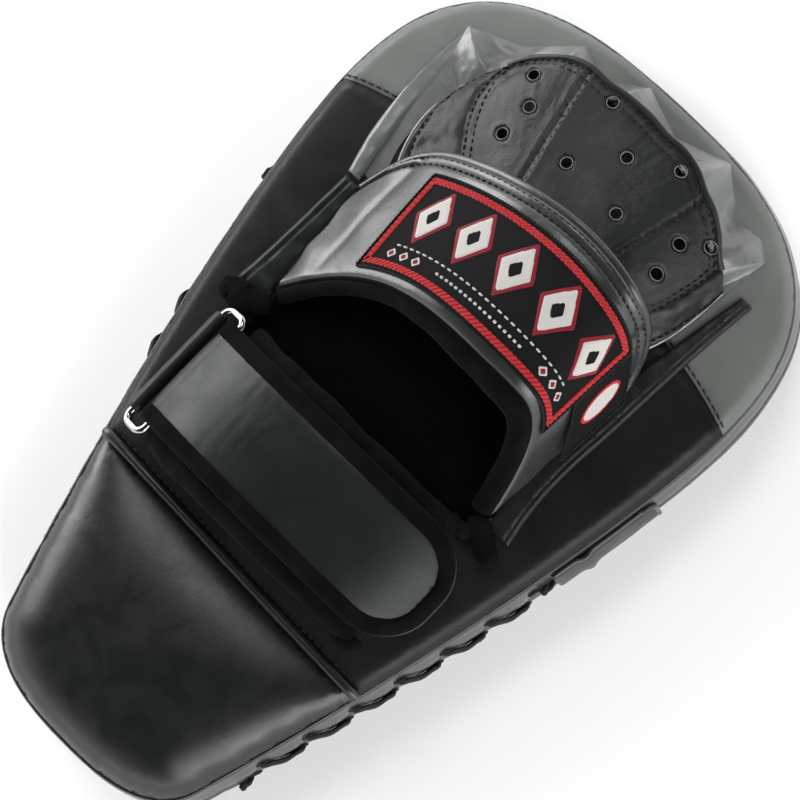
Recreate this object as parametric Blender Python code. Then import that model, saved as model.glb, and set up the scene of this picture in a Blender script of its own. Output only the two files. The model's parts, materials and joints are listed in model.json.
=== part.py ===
"""Long focus mitt with a glove back, lying on its strike face.

The frame has its origin at the middle of the strike face, +Y towards the
fingers, +X towards the mitt's steep side and +Z up, out of the back.
Dimensions are in millimetres here, and the meshes are in metres.
"""
import math

import bmesh
import bpy
from mathutils import Vector

MM = 0.001
GAP = 0.4

# Pad outline: a round finger end, tapering sides and a narrow wrist end.
HALF_WIDTH = 104.8
WIDEST_Y = 88.0
FINGER_END = 84.5
TAPER_SCALE = 0.02455
TAPER_POWER = 1.396
WRIST_END_Y = -146.0
WRIST_END = 26.5
END_POWER = 2.7
RIM_POINTS = 64

# Pad section, from the strike face up. Leather walls are listed as inset and height.
LEATHER = 2.0
COVER_TOP = 8.0
SLIT_LOW = 20.5
SLIT_HIGH = 24.5
GUSSET_TOP = 38.0
GUSSET_LEAN = 0.08
STRIKE_OUTSIDE = ((8.0, 0.0), (4.6, 0.9), (2.4, 3.6), (1.4, COVER_TOP))
STRIKE_INSIDE = ((1.4 + LEATHER, COVER_TOP), (2.4 + LEATHER, 4.2), (9.0, LEATHER))
FRONT_OUTSIDE = ((1.3, COVER_TOP + GAP), (0.3, 14.0), (0.0, SLIT_LOW))
FRONT_INSIDE = ((LEATHER, SLIT_LOW), (1.3 + LEATHER, COVER_TOP + GAP))
REAR_OUTSIDE = ((0.0, SLIT_HIGH), (0.4, 31.0), (1.2, GUSSET_TOP))
REAR_INSIDE = ((1.2 + LEATHER, GUSSET_TOP), (LEATHER, SLIT_HIGH))
TONGUE_LOW = 11.0
TONGUE_HIGH = 35.0
TONGUE_THICKNESS = 1.2

# The back rolls over a shoulder near its edge and rises gently inside it.
PANEL_INSET = 1.6
SHOULDER_INSET = 6.3
SHOULDER_Z = 44.6
SHOULDER_SLOPE = 0.225
SHOULDER_DROP = 2.95
BACK_RISE = 3.6
BACK_FALLOFF = 16.0
SKIN_RINGS = (0.0, 0.02, 0.05, 0.14, 0.32, 0.6)

# Foams. The core's top rings draw in towards a spine along Y.
STRIKE_FOAM_INSET = 11.0
STRIKE_FOAM_EDGE_Z = 5.0
FOAM_INSET = 11.5
FOAM_SPLIT = 15.0
FOAM_PLAY = 1.8
CORE_SIDE_TOP = 36.0
CORE_SPINE = (-120.0, 60.0)
CORE_RINGS = (0.0, 0.06, 0.2, 0.5)
CUSHION_FOAM_INSET = 18.0
CUSHION_FOAM_SEAM = 22.0
CUSHION_FOAM_RINGS = (0.0, 0.12, 0.35, 0.7)

# Seams of the back.
TOP_SEAM_Y = 103.0
TOP_SEAM_DROP = 14.0
CUSHION_SEAM_Y = -76.0
CUSHION_SEAM_SLOPE = -0.035
CUSHION_RISE = 11.0
CUSHION_FALLOFF = 11.0
CUSHION_SEAM_FALLOFF = 16.0
PIPING_RADIUS = 2.1
PIPING_LIFT = 0.6

# Lacing along the slit.
LACE_RADIUS = 1.3
LACE_OVER = 14.0
LACE_BEHIND = 6.0
LACE_FRONT_Z = 15.5
LACE_REAR_Z = 29.5
LACE_HOLE_RADIUS = 2.1
LACE_DEPTH = 3.9
TONGUE_INSET = 2.0 * LACE_DEPTH - LEATHER
LACE_CLEAR = 0.5
LACE_HANG = 0.9
PEG_SIDES = 8
LACE_PEG = 8.0
RIGHT_LACE = (-3.0, 7)
LEFT_LACE = (38.0, 9)
KNOT_RADIUS = 2.6
FLAP_Y = (6.0, 64.0)
FLAP_HEIGHTS = (11.0, 22.5, 36.0)
FLAP_THICKNESS = 1.4
FLAP_LIFT = 1.7
FLAP_TUCK = 0.6

# Glove back. Each station is left base x, right base x, crown x, crown z,
# left power and right power of the arch.
GLOVE_BASE_Z = 48.8
BAND_REAR = (-62.0, 62.0, 20.0, 91.0, 1.7, 5.0)
BAND_FRONT = (-66.0, 66.5, 20.0, 92.5, 1.7, 5.5)
BAND_BULGE = 3.0
BAND_THICKNESS = 6.0
FINGER_REAR = (-56.0, 56.0, 18.0, 83.0, 1.7, 3.6)
FINGER_TIP = (-62.0, 67.0, 8.0, 71.0, 2.8, 3.2)
FINGER_BULGE = (10.0, 3.0)
LINING_THICKNESS = 1.2
COVER_THICKNESS = 1.6
COVER_SEAMS = ((0.74, 0.90), (0.86, 0.90))
SIDE_LOW = (74.0, 71.0)

# Edges of the glove along Y: the place at the crown, then the falls towards
# the bases, each a depth and the power of the reach round the arch.
OPENING_Y = 46.0
OPENING_FALLS = (((34.0, 3.2),), ((40.0, 10.0),))
FRONT_Y = 107.0
FRONT_FALLS = (((20.0, 1.8), (24.0, 12.0)), ((10.0, 2.0), (20.0, 16.0)))
TIP_Y = 156.8
TIP_FALLS = (((35.0, 5.1),), ((29.0, 2.4),))
TUCK = 5.0

# Stretches of the band: first and last angle, columns, and two v values.
BAND_SPAN = (-90.0, 90.0, 21, 0.0, 1.0)
LINING_SPAN = (-78.0, 78.0, 17, 0.03, 0.84)
LABEL_SPAN = (-46.0, 60.0, 15, 0.08, 0.84)
TAG_SPAN = (65.0, 80.0, 4, 0.46, 0.8)
LABEL_OUTSIDE = -1.5
LABEL_INSIDE = -0.5
RIM_SPAN = (-84.0, 82.0, 27)
RIM_RADIUS = 3.4
RIM_GAP = 1.7
POCKET_THICKNESS = 1.2
POCKET_DROP = 2.4
POCKET_PLAY = 1.4
POCKET_RISE = 0.8
POCKET_COLUMNS = (0.0, 0.34, 0.67)
POCKET_ROWS = (0.0, 0.35, 0.7, 1.0)
HOLE_RADIUS = 2.5
HOLE_PEG = 16.0
SEAM_TURN = 0.9
HOLES = [(-42.2, 138.9), (-33.5, 128.4), (-34.1, 114.0), (-10.8, 150.8), (8.7, 138.7),
         (-6.2, 121.7), (21.4, 120.2), (26.6, 149.0), (45.1, 128.8), (53.2, 136.6), (46.8, 114.8)]

# Hem of the pleated finger pocket on the pad: x, y, and the arch angle and v above it.
POCKET_HEM = [(-67.5, 70.0, -88.0, 0.18), (-71.0, 86.0, -87.0, 0.45), (-74.5, 103.0, -83.0, 0.68),
              (-78.5, 137.0, -70.0, 0.84), (-57.0, 146.0, -56.0, 0.84), (-40.0, 162.5, -40.0, 0.84),
              (-25.0, 157.0, -28.0, 0.84), (-10.0, 167.5, -16.0, 0.84), (11.0, 160.0, 4.0, 0.84),
              (33.0, 166.5, 26.0, 0.84), (50.0, 153.0, 42.0, 0.84), (62.0, 153.5, 57.0, 0.84),
              (69.5, 148.0, 66.0, 0.84), (67.0, 126.0, 80.0, 0.84)]

# Strips sewn to the pad's back beside the glove: outer and inner edges, as x and y.
FLANGE_LEFT = (((-76.0, 5.5), (-74.0, 30.0), (-72.6, 62.0)), ((-64.5, 5.5), (-64.8, 30.0), (-67.2, 62.0)))
FLANGE_RIGHT = (((66.6, 3.4), (65.4, 20.0), (64.9, 38.0), (66.4, 63.0), (68.6, 105.0), (72.4, 131.0)),
                ((74.0, 3.4), (70.2, 20.0), (68.7, 38.0), (69.6, 63.0), (72.7, 105.0), (77.0, 131.0)))
POCKET_STRIP = (((-72.6, 66.0), (-77.2, 82.0), (-79.4, 99.0)), ((-69.6, 66.0), (-73.0, 82.0), (-76.0, 99.0)))
END_TAB_LEFT = (((-76.0, -5.0), (-76.0, 4.5)), ((-60.0, -5.0), (-62.0, 4.5)))
END_TAB_RIGHT = (((59.0, -7.0), (60.0, 2.5)), ((75.0, -7.0), (75.0, 2.5)))
GLOVE_FLOOR = (((-53.0, 0.5), (-50.5, 50.0), (-48.0, 112.0)), ((53.0, 0.5), (51.0, 50.0), (48.0, 112.0)))
FLANGE_THICKNESS = 2.4
END_TAB_THICKNESS = 3.0

# Wrist strap.
STRAP_LOW_Y = -59.0
STRAP_HIGH_Y = -9.0
STRAP_END_X = 73.0
STRAP_CORNER = 21.0
STRAP_CROWN_Z = 80.2
STRAP_END_Z = 59.5
STRAP_THICKNESS = 2.4
STRAP_BINDING = 6.5
BINDING_EXTRA = 0.3
STRAP_POWER = 2.4
CUFF_LOW_Y = -67.0
CUFF_HIGH_Y = -3.0
CUFF_HALF = 55.0
CUFF_X = 2.0
CUFF_CROWN_Z = 74.0
CUFF_THICKNESS = 6.0
CUFF_END_Z = 55.4
PAD_Y = (-51.0, -17.0)
HOOK_PAD_X = (-34.0, 46.0)
LOOP_PAD_X = (-34.0, 40.0)
PAD_THICKNESS = 0.9
PAD_DEPTH = 1.2
RING_WIRE = 1.7
RING_OUTER = (-67.5, 52.4)
RING_INNER = (-57.6, 57.0)
RING_LOW_Y = -64.5
RING_HIGH_Y = -5.5
RING_CORNER = 3.2
SLEEVE_RADIUS = 3.8
SLEEVE_BORE = 2.15
SLEEVE_ARC = (20.0, 290.0)
SLEEVE_INSET = 5.4
FOLD_RADIUS = 4.9
FOLD_BORE = 2.2
FOLD_ARC = (90.0, 255.0)
FOLD_INSET = 0.6


def mix(a, b, share):
    return a + (b - a) * share


def spread(first, last, count):
    return [mix(first, last, i / (count - 1.0)) for i in range(count)]


def clear_scene():
    for item in list(bpy.data.objects):
        bpy.data.objects.remove(item)


def make_material(name, color, roughness, metallic=0.0):
    material = bpy.data.materials.new(name)
    material.use_nodes = True
    shader = material.node_tree.nodes["Principled BSDF"]
    shader.inputs["Base Color"].default_value = (*color, 1.0)
    shader.inputs["Roughness"].default_value = roughness
    shader.inputs["Metallic"].default_value = metallic
    return material


def make_object(name, points, faces, look, smooth_angle=40.0):
    """A mesh object from points in millimetres, with its faces turned outwards."""
    mesh = bpy.data.meshes.new(name)
    mesh.from_pydata([Vector(p) * MM for p in points], [], faces)
    work = bmesh.new()
    work.from_mesh(mesh)
    bmesh.ops.recalc_face_normals(work, faces=work.faces)
    work.to_mesh(mesh)
    work.free()
    mesh.shade_smooth()
    mesh.set_sharp_from_angle(angle=math.radians(smooth_angle))
    item = bpy.data.objects.new(name, mesh)
    bpy.context.scene.collection.objects.link(item)
    mesh.materials.append(make_material(name, *look))
    return item


# ---------------------------------------------------------------- outline

def half_width(y):
    if y > WIDEST_Y:
        reach = min((y - WIDEST_Y) / FINGER_END, 1.0)
        return HALF_WIDTH * (1.0 - reach ** END_POWER) ** (1.0 / END_POWER)
    width = HALF_WIDTH - TAPER_SCALE * (WIDEST_Y - y) ** TAPER_POWER
    if y < WRIST_END_Y:
        reach = min((WRIST_END_Y - y) / WRIST_END, 1.0)
        width *= (1.0 - reach ** END_POWER) ** (1.0 / END_POWER)
    return width


def resample(points, count):
    """The closed polyline's points, spread evenly along its length."""
    ends = points[1:] + points[:1]
    lengths = [(b - a).length for a, b in zip(points, ends)]
    step = sum(lengths) / count
    result = []
    travelled = 0.0
    for start, end, length in zip(points, ends, lengths):
        while len(result) < count and len(result) * step <= travelled + length:
            result.append(start.lerp(end, (len(result) * step - travelled) / length))
        travelled += length
    return result


def full_outline():
    low = WRIST_END_Y - WRIST_END
    high = WIDEST_Y + FINGER_END
    steps = 200
    right = []
    for i in range(1, steps):
        y = (low + high) / 2.0 - (high - low) / 2.0 * math.cos(math.pi * i / steps)
        right.append(Vector((half_width(y), y)))
    left = [Vector((-p.x, p.y)) for p in reversed(right)]
    return resample([Vector((0.0, low))] + right + [Vector((0.0, high))] + left, RIM_POINTS)


OUTLINE = full_outline()


def outline(inset):
    """The pad's outline, moved inwards along its normals."""
    result = []
    for i, point in enumerate(OUTLINE):
        along = (OUTLINE[(i + 1) % RIM_POINTS] - OUTLINE[i - 1]).normalized()
        result.append(point + Vector((-along.y, along.x)) * inset)
    return result


def edge_distance(x, y):
    """How far a point inside the pad is from the outline."""
    here = Vector((x, y))
    nearest = 1e9
    for i, start in enumerate(OUTLINE):
        span = OUTLINE[(i + 1) % RIM_POINTS] - start
        along = max(0.0, min(1.0, (here - start).dot(span) / span.length_squared))
        nearest = min(nearest, (start + span * along - here).length)
    return nearest


def back_height(x, y):
    depth = edge_distance(x, y) - SHOULDER_INSET
    if depth >= 0.0:
        return SHOULDER_Z + BACK_RISE * (1.0 - math.exp(-depth / BACK_FALLOFF))
    share = min(-depth / (SHOULDER_INSET - PANEL_INSET), 1.0)
    return SHOULDER_Z + SHOULDER_SLOPE * depth - SHOULDER_DROP * share ** 2


def top_seam(x):
    return TOP_SEAM_Y - TOP_SEAM_DROP * abs(x / HALF_WIDTH) ** 3


def cushion_seam(x):
    return CUSHION_SEAM_Y + CUSHION_SEAM_SLOPE * x


def cushion_height(x, y):
    edge = max(edge_distance(x, y) - PANEL_INSET, 0.0)
    seam = max(cushion_seam(x) - PIPING_RADIUS - y, 0.0)
    swell = (1.0 - math.exp(-edge / CUSHION_FALLOFF)) * (1.0 - math.exp(-seam / CUSHION_SEAM_FALLOFF))
    return back_height(x, y) + CUSHION_RISE * swell


# ---------------------------------------------------------------- solids

def loft(name, loops, look, closed=False):
    """A solid skinned over loops of equal length: a band when closed, or capped at both ends."""
    count = len(loops[0])
    points = [p for loop in loops for p in loop]
    faces = []
    for i in range(len(loops) if closed else len(loops) - 1):
        first = i * count
        second = (i + 1) % len(loops) * count
        for j in range(count):
            k = (j + 1) % count
            faces.append((first + j, first + k, second + k, second + j))
    if not closed:
        faces.append(tuple(range(count)))
        faces.append(tuple(range(len(points) - count, len(points))))
    return make_object(name, points, faces, look)


def level(inset, z):
    return [(p.x, p.y, z) for p in outline(inset)]


def levels(wall):
    return [level(inset, z) for inset, z in wall]


def clip_loop(loop, line, sign, margin):
    """The part of a loop on one side of a seam, closed by points along the seam."""
    def side(p):
        return sign * (p.y - line(p.x)) - margin

    start = next(i for i in range(len(loop)) if side(loop[i]) > 0.0 >= side(loop[i - 1]))
    turned = loop[start:] + loop[:start]
    kept = [p for p in turned if side(p) > 0.0]

    def crossing(inside, outside):
        along = side(inside) / (side(inside) - side(outside))
        return inside.lerp(outside, along)

    first = crossing(kept[0], turned[-1])
    last = crossing(kept[-1], turned[len(kept)])
    seam = []
    pieces = 14
    for i in range(1, pieces):
        x = last.x + (first.x - last.x) * i / pieces
        seam.append(Vector((x, line(x) + sign * margin)))
    return [first] + kept + [last] + seam


def skin(name, loop, height, thickness, look):
    """A skin over a region: its top follows height, and its underside lies a thickness lower."""
    middle = sum(loop, Vector((0.0, 0.0))) / len(loop)
    top = []
    bottom = []
    for share in SKIN_RINGS:
        ring = [p.lerp(middle, share) for p in loop]
        top.append([(p.x, p.y, height(p.x, p.y)) for p in ring])
        bottom.append([(p.x, p.y, height(p.x, p.y) - thickness) for p in ring])
    return loft(name, bottom[:0:-2] + bottom[:1] + top, look)


def sheet(name, grid, thickness, look, offset=-1.0):
    """A shell from a grid of points whose outer side faces up, thickened by Solidify."""
    rows = len(grid)
    columns = len(grid[0])
    points = [Vector(p) * MM for row in grid for p in row]
    faces = []
    for i in range(rows - 1):
        for j in range(columns - 1):
            a = i * columns + j
            faces.append((a, a + 1, a + columns + 1, a + columns))
    mesh = bpy.data.meshes.new(name)
    mesh.from_pydata(points, [], faces)
    if sum(face.normal.z * face.area for face in mesh.polygons) < 0.0:
        mesh.flip_normals()
    mesh.shade_smooth()
    item = bpy.data.objects.new(name, mesh)
    bpy.context.scene.collection.objects.link(item)
    mesh.materials.append(make_material(name, *look))
    solid = item.modifiers.new("thickness", "SOLIDIFY")
    solid.thickness = thickness * MM
    solid.offset = offset
    solid.use_even_offset = True
    return item


def tube(name, points, radius, look, cyclic=False):
    """A round cord or wire along points in millimetres."""
    curve = bpy.data.curves.new(name, "CURVE")
    curve.dimensions = "3D"
    curve.bevel_depth = radius * MM
    curve.bevel_resolution = 2
    curve.use_fill_caps = not cyclic
    spline = curve.splines.new("POLY")
    spline.points.add(len(points) - 1)
    spline.use_cyclic_u = cyclic
    for target, point in zip(spline.points, points):
        target.co = (*(Vector(point) * MM), 1.0)
    item = bpy.data.objects.new(name, curve)
    bpy.context.scene.collection.objects.link(item)
    curve.materials.append(make_material(name, *look))
    return item


def cutter(name, points, faces):
    item = make_object(name, points, faces, ((0.5, 0.5, 0.5), 0.5))
    item.hide_render = True
    item.display_type = "WIRE"
    return item


def cut(item, tool):
    boolean = item.modifiers.new("cut", "BOOLEAN")
    boolean.operation = "DIFFERENCE"
    boolean.solver = "EXACT"
    boolean.object = tool


def pegs(name, places, radius, length):
    """Cutters: one round peg for each place, which is a centre and a direction."""
    sides = PEG_SIDES
    points = []
    faces = []
    for centre, direction in places:
        first = len(points)
        across = direction.orthogonal().normalized()
        other = direction.cross(across)
        for end in (-0.5, 0.5):
            for k in range(sides):
                angle = 2.0 * math.pi * k / sides
                spoke = across * math.cos(angle) + other * math.sin(angle)
                points.append(centre + direction * (end * length) + spoke * radius)
        for k in range(sides):
            j = (k + 1) % sides
            faces.append((first + k, first + j, first + sides + j, first + sides + k))
        faces.append(tuple(range(first, first + sides)))
        faces.append(tuple(range(first + sides, first + 2 * sides)))
    return cutter(name, points, faces)


# ---------------------------------------------------------------- looks

BLACK_LEATHER = ((0.030, 0.032, 0.031), 0.38)
PALE_LEATHER = ((0.060, 0.064, 0.061), 0.30)
SATIN_LEATHER = ((0.022, 0.022, 0.023), 0.45)
VELOUR = ((0.012, 0.012, 0.013), 0.95)
FOAM = ((0.32, 0.32, 0.34), 0.90)
LACE = ((0.010, 0.010, 0.010), 0.70)
LABEL = ((0.020, 0.015, 0.018), 0.80)
CHROME = ((0.80, 0.81, 0.83), 0.12, 1.0)


# ---------------------------------------------------------------- pad

def build_covers():
    loft("strike_cover", levels(STRIKE_OUTSIDE) + levels(STRIKE_INSIDE), BLACK_LEATHER)
    front = loft("front_gusset", levels(FRONT_OUTSIDE) + levels(FRONT_INSIDE), BLACK_LEATHER, closed=True)
    rear = loft("rear_gusset", levels(REAR_OUTSIDE) + levels(REAR_INSIDE), BLACK_LEATHER, closed=True)
    deep = TONGUE_INSET + TONGUE_THICKNESS
    tongue = ((TONGUE_INSET, TONGUE_LOW), (TONGUE_INSET, TONGUE_HIGH),
              (deep, TONGUE_HIGH), (deep, TONGUE_LOW))
    loft("slit_tongue", levels(tongue), VELOUR, closed=True)
    return front, rear


def build_foams():
    deep = TONGUE_INSET + TONGUE_THICKNESS + GAP
    strike = ((STRIKE_FOAM_INSET, LEATHER + GAP), (deep, STRIKE_FOAM_EDGE_Z), (deep, FOAM_SPLIT - GAP))
    loft("strike_foam", levels(strike), FOAM)
    top = []
    for share in CORE_RINGS:
        ring = []
        for p in outline(FOAM_INSET):
            spine = Vector((0.0, max(CORE_SPINE[0], min(CORE_SPINE[1], p.y))))
            q = p.lerp(spine, share)
            ring.append((q.x, q.y, back_height(q.x, q.y) - LEATHER - FOAM_PLAY))
        top.append(ring)
    loft("core_foam", levels(((deep, FOAM_SPLIT), (deep, CORE_SIDE_TOP))) + top, FOAM)


def build_back():
    rim = outline(PANEL_INSET)
    skin("top_panel", clip_loop(rim, top_seam, 1.0, GAP / 2.0), back_height, LEATHER, PALE_LEATHER)
    middle = clip_loop(rim, top_seam, -1.0, GAP / 2.0)
    middle = clip_loop(middle, cushion_seam, 1.0, PIPING_RADIUS + GAP)
    skin("middle_panel", middle, back_height, LEATHER, SATIN_LEATHER)
    pillow = clip_loop(rim, cushion_seam, -1.0, PIPING_RADIUS + GAP)
    skin("cushion_cover", pillow, cushion_height, LEATHER, BLACK_LEATHER)
    build_cushion_foam()
    half = half_width(CUSHION_SEAM_Y) - PANEL_INSET - PIPING_RADIUS
    line = []
    for x in spread(-half, half, 15):
        line.append((x, cushion_seam(x), back_height(x, cushion_seam(x)) + PIPING_LIFT))
    tube("cushion_piping", line, PIPING_RADIUS, BLACK_LEATHER)


def build_cushion_foam():
    rim = clip_loop(outline(CUSHION_FOAM_INSET), cushion_seam, -1.0, CUSHION_FOAM_SEAM)
    middle = sum(rim, Vector((0.0, 0.0))) / len(rim)
    rings = [[p.lerp(middle, share) for p in rim] for share in CUSHION_FOAM_RINGS]
    low = LEATHER - GAP
    bottom = [[(p.x, p.y, back_height(p.x, p.y) - low) for p in ring] for ring in rings[::-3]]
    high = LEATHER + 2.0 * FOAM_PLAY
    top = [[(p.x, p.y, cushion_height(p.x, p.y) - high) for p in ring] for ring in rings]
    loft("cushion_foam", bottom + top, FOAM)


# ---------------------------------------------------------------- lacing

def gusset_point(side, y, z, inset):
    """A point on the gusset at height z, moved inwards square to the outline."""
    slope = (half_width(y + 1.0) - half_width(y - 1.0)) / 2.0
    square = Vector((-1.0, slope)).normalized()
    depth = inset + max(z - SLIT_HIGH, 0.0) * GUSSET_LEAN
    point = Vector((half_width(y), y)) + square * depth
    return Vector((side * point.x, point.y, z))


def eyelets(lacing):
    """Eyelet places along Y and up Z, rear and front by turns."""
    y, turns = lacing
    places = []
    for i in range(2 * turns):
        places.append((y, LACE_REAR_Z if i % 2 == 0 else LACE_FRONT_Z))
        y -= LACE_BEHIND if i % 2 == 0 else LACE_OVER
    return places


def lace_route(side, lacing):
    """In through an eyelet, a short way behind the slit, out, and over it in a long diagonal."""
    places = eyelets(lacing)
    route = []
    for i, (y, z) in enumerate(places):
        inwards = i % 2 == 0
        outside = [(y, z, -LACE_RADIUS - LACE_CLEAR)]
        inside = [(y, z, LACE_DEPTH)]
        route += outside + inside if inwards else inside + outside
        if i + 1 < len(places):
            next_y, next_z = places[i + 1]
            depth = LACE_DEPTH if inwards else -LACE_RADIUS - LACE_HANG
            for share in (0.25, 0.75):
                route.append((y + (next_y - y) * share, z + (next_z - z) * share, depth))
    return [gusset_point(side, *stop) for stop in route]


def build_knots():
    """A stopper knot beside each end of both laces."""
    beside = KNOT_RADIUS + LACE_RADIUS + GAP
    off = KNOT_RADIUS + GAP
    for word, side, lacing in (("right", 1.0, RIGHT_LACE), ("left", -1.0, LEFT_LACE)):
        places = eyelets(lacing)
        for end, (y, z), shift in (("upper", places[0], beside), ("lower", places[-1], -beside)):
            knot(f"lace_knot_{word}_{end}", gusset_point(side, y + shift, z, -off))


def knot(name, centre):
    work = bmesh.new()
    bmesh.ops.create_icosphere(work, subdivisions=2, radius=KNOT_RADIUS * MM)
    mesh = bpy.data.meshes.new(name)
    work.to_mesh(mesh)
    work.free()
    mesh.shade_smooth()
    mesh.materials.append(make_material(name, *LACE))
    item = bpy.data.objects.new(name, mesh)
    item.location = centre * MM
    bpy.context.scene.collection.objects.link(item)


def build_lacing(front, rear):
    for name, side, lacing in (("lace_right", 1.0, RIGHT_LACE), ("lace_left", -1.0, LEFT_LACE)):
        tube(name, lace_route(side, lacing), LACE_RADIUS, LACE)
        places = []
        for y, z in eyelets(lacing):
            centre = gusset_point(side, y, z, LEATHER / 2.0)
            direction = (centre - gusset_point(side, y, z, LEATHER / 2.0 + 1.0)).normalized()
            places.append((centre, direction))
        tool = pegs(name + "_holes", places, LACE_HOLE_RADIUS, LACE_PEG)
        cut(front, tool)
        cut(rear, tool)


def build_gusset_flap():
    """The bound flap over the slit on the right, above the lacing."""
    grid = []
    for y in spread(FLAP_Y[0], FLAP_Y[1], 9):
        low, middle, high = FLAP_HEIGHTS
        grid.append([gusset_point(1.0, y, low, FLAP_TUCK - FLAP_LIFT),
                     gusset_point(1.0, y, middle, -FLAP_LIFT),
                     gusset_point(1.0, y, high, -FLAP_LIFT)])
    flap = sheet("gusset_flap", grid, FLAP_THICKNESS, BLACK_LEATHER)
    if flap.data.polygons[0].normal.x < 0.0:
        flap.data.flip_normals()


# ---------------------------------------------------------------- glove

def station(v):
    """The arch's dimensions at v, which runs 0 to 1 over the band."""
    shape = [mix(a, b, v) for a, b in zip(BAND_REAR, BAND_FRONT)]
    shape[3] += BAND_BULGE * math.sin(math.pi * v)
    return shape


def finger_station(v):
    """The same for the fingers, where the bases bulge outwards midway."""
    shape = [mix(a, b, v) for a, b in zip(FINGER_REAR, FINGER_TIP)]
    shape[0] -= FINGER_BULGE[0] * math.sin(math.pi * v)
    shape[1] += FINGER_BULGE[1] * math.sin(math.pi * v)
    return shape


def arch(shape, angle, depth):
    """A point of the arch: angle runs from -90 at the left base over the crown to 90."""
    left, right, crown_x, crown_z, left_power, right_power = shape
    reach = abs(math.sin(angle))
    base = (left + depth if angle < 0.0 else right - depth) - crown_x
    power = left_power if angle < 0.0 else right_power
    top = crown_z - depth - GLOVE_BASE_Z
    return crown_x + base * reach, GLOVE_BASE_Z + top * (1.0 - reach ** power)


def fallen(crown_y, falls, angle):
    reach = abs(math.sin(angle))
    return crown_y - sum(depth * reach ** power for depth, power in falls[0 if angle < 0.0 else 1])


def rear_y(angle):
    return fallen(OPENING_Y, OPENING_FALLS, angle)


def front_y(angle):
    return fallen(FRONT_Y, FRONT_FALLS, angle)


def tip_y(angle):
    return fallen(TIP_Y, TIP_FALLS, angle)


def band_point(angle, v, depth=0.0):
    x, z = arch(station(v), angle, depth)
    return x, mix(rear_y(angle), front_y(angle), v), z


def finger_point(angle, v, depth=0.0):
    x, z = arch(finger_station(v), angle, depth)
    return x, mix(front_y(angle) - TUCK, tip_y(angle), v), z


def angles(first, last, count):
    return [math.radians(angle) for angle in spread(first, last, count)]


def patch(point, first, last, columns, low, high, rows, depth):
    """A grid of points over a stretch of arch, rows from low to high."""
    grid = []
    for v in spread(low, high, rows):
        grid.append([point(angle, v, depth) for angle in angles(first, last, columns)])
    return grid


def arch_shell(name, span, rows, high_depth, low_depth, look):
    """A shell of the band between two depths; span is its angles, columns and two v values."""
    first, last, columns, low, high = span
    outer = patch(band_point, first, last, columns, low, high, rows, high_depth)
    inner = patch(band_point, first, last, columns, low, high, rows, low_depth)
    section = 2 * columns
    points = [p for i in range(rows) for p in outer[i] + inner[i][::-1]]
    faces = []
    for i in range(rows - 1):
        for j in range(section):
            k = (j + 1) % section
            faces.append((i * section + j, i * section + k, (i + 1) * section + k, (i + 1) * section + j))
    for start in (0, (rows - 1) * section):
        for j in range(columns - 1):
            far = start + section - 1 - j
            faces.append((start + j, start + j + 1, far - 1, far))
    return make_object(name, points, faces, look)


def rim_point(angle):
    """A point of the opening's binding, just off the band's edge and square to it."""
    step = math.radians(1.0)
    edge = Vector(band_point(angle, 0.0, BAND_THICKNESS / 2.0))
    along = Vector(band_point(angle + step, 0.0, 0.0)) - Vector(band_point(angle - step, 0.0, 0.0))
    across = Vector(band_point(angle, 0.1, 0.0)) - Vector(band_point(angle, 0.0, 0.0))
    outwards = along.cross(along.cross(across)).normalized()
    point = edge + outwards * (RIM_RADIUS + RIM_GAP)
    point.z = max(point.z, GLOVE_BASE_Z + RIM_RADIUS)
    return point


def build_band():
    arch_shell("hand_band", BAND_SPAN, 6, 0.0, BAND_THICKNESS, BLACK_LEATHER)
    depth = BAND_THICKNESS + GAP
    arch_shell("band_lining", LINING_SPAN, 5, depth, depth + LINING_THICKNESS, VELOUR)
    tube("opening_rim", [rim_point(angle) for angle in angles(*RIM_SPAN)], RIM_RADIUS, VELOUR)
    arch_shell("label_patch", LABEL_SPAN, 5, LABEL_OUTSIDE, LABEL_INSIDE, LABEL)
    arch_shell("side_tag", TAG_SPAN, 3, LABEL_OUTSIDE, LABEL_INSIDE, LABEL)


def seam_angle(v, sign):
    low, high = COVER_SEAMS[0 if sign < 0.0 else 1]
    return sign * math.asin(mix(low, high, v))


def build_cover():
    grid = []
    for v in spread(0.0, 1.0, 9):
        first = math.degrees(seam_angle(v, -1.0))
        last = math.degrees(seam_angle(v, 1.0))
        grid.append([finger_point(angle, v) for angle in angles(first, last, 15)])
    cover = sheet("finger_cover", grid, COVER_THICKNESS, BLACK_LEATHER)
    spots = [p for row in grid for p in row]
    places = []
    for x, y in HOLES:
        near = min(spots, key=lambda p: (p[0] - x) ** 2 + (p[1] - y) ** 2)
        places.append((Vector((x, y, near[2])), Vector((0.0, 0.3, 1.0)).normalized()))
    cut(cover, pegs("cover_holes", places, HOLE_RADIUS, HOLE_PEG))
    for name, sign in (("finger_cover_side_left", -1.0), ("finger_cover_side_right", 1.0)):
        grid = []
        for v in spread(0.0, 1.0, 6):
            first = math.degrees(seam_angle(v, sign)) + sign * SEAM_TURN
            last = sign * mix(SIDE_LOW[0], SIDE_LOW[1], v)
            grid.append([finger_point(angle, v) for angle in angles(first, last, 6)])
        sheet(name, grid, COVER_THICKNESS, BLACK_LEATHER)


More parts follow.
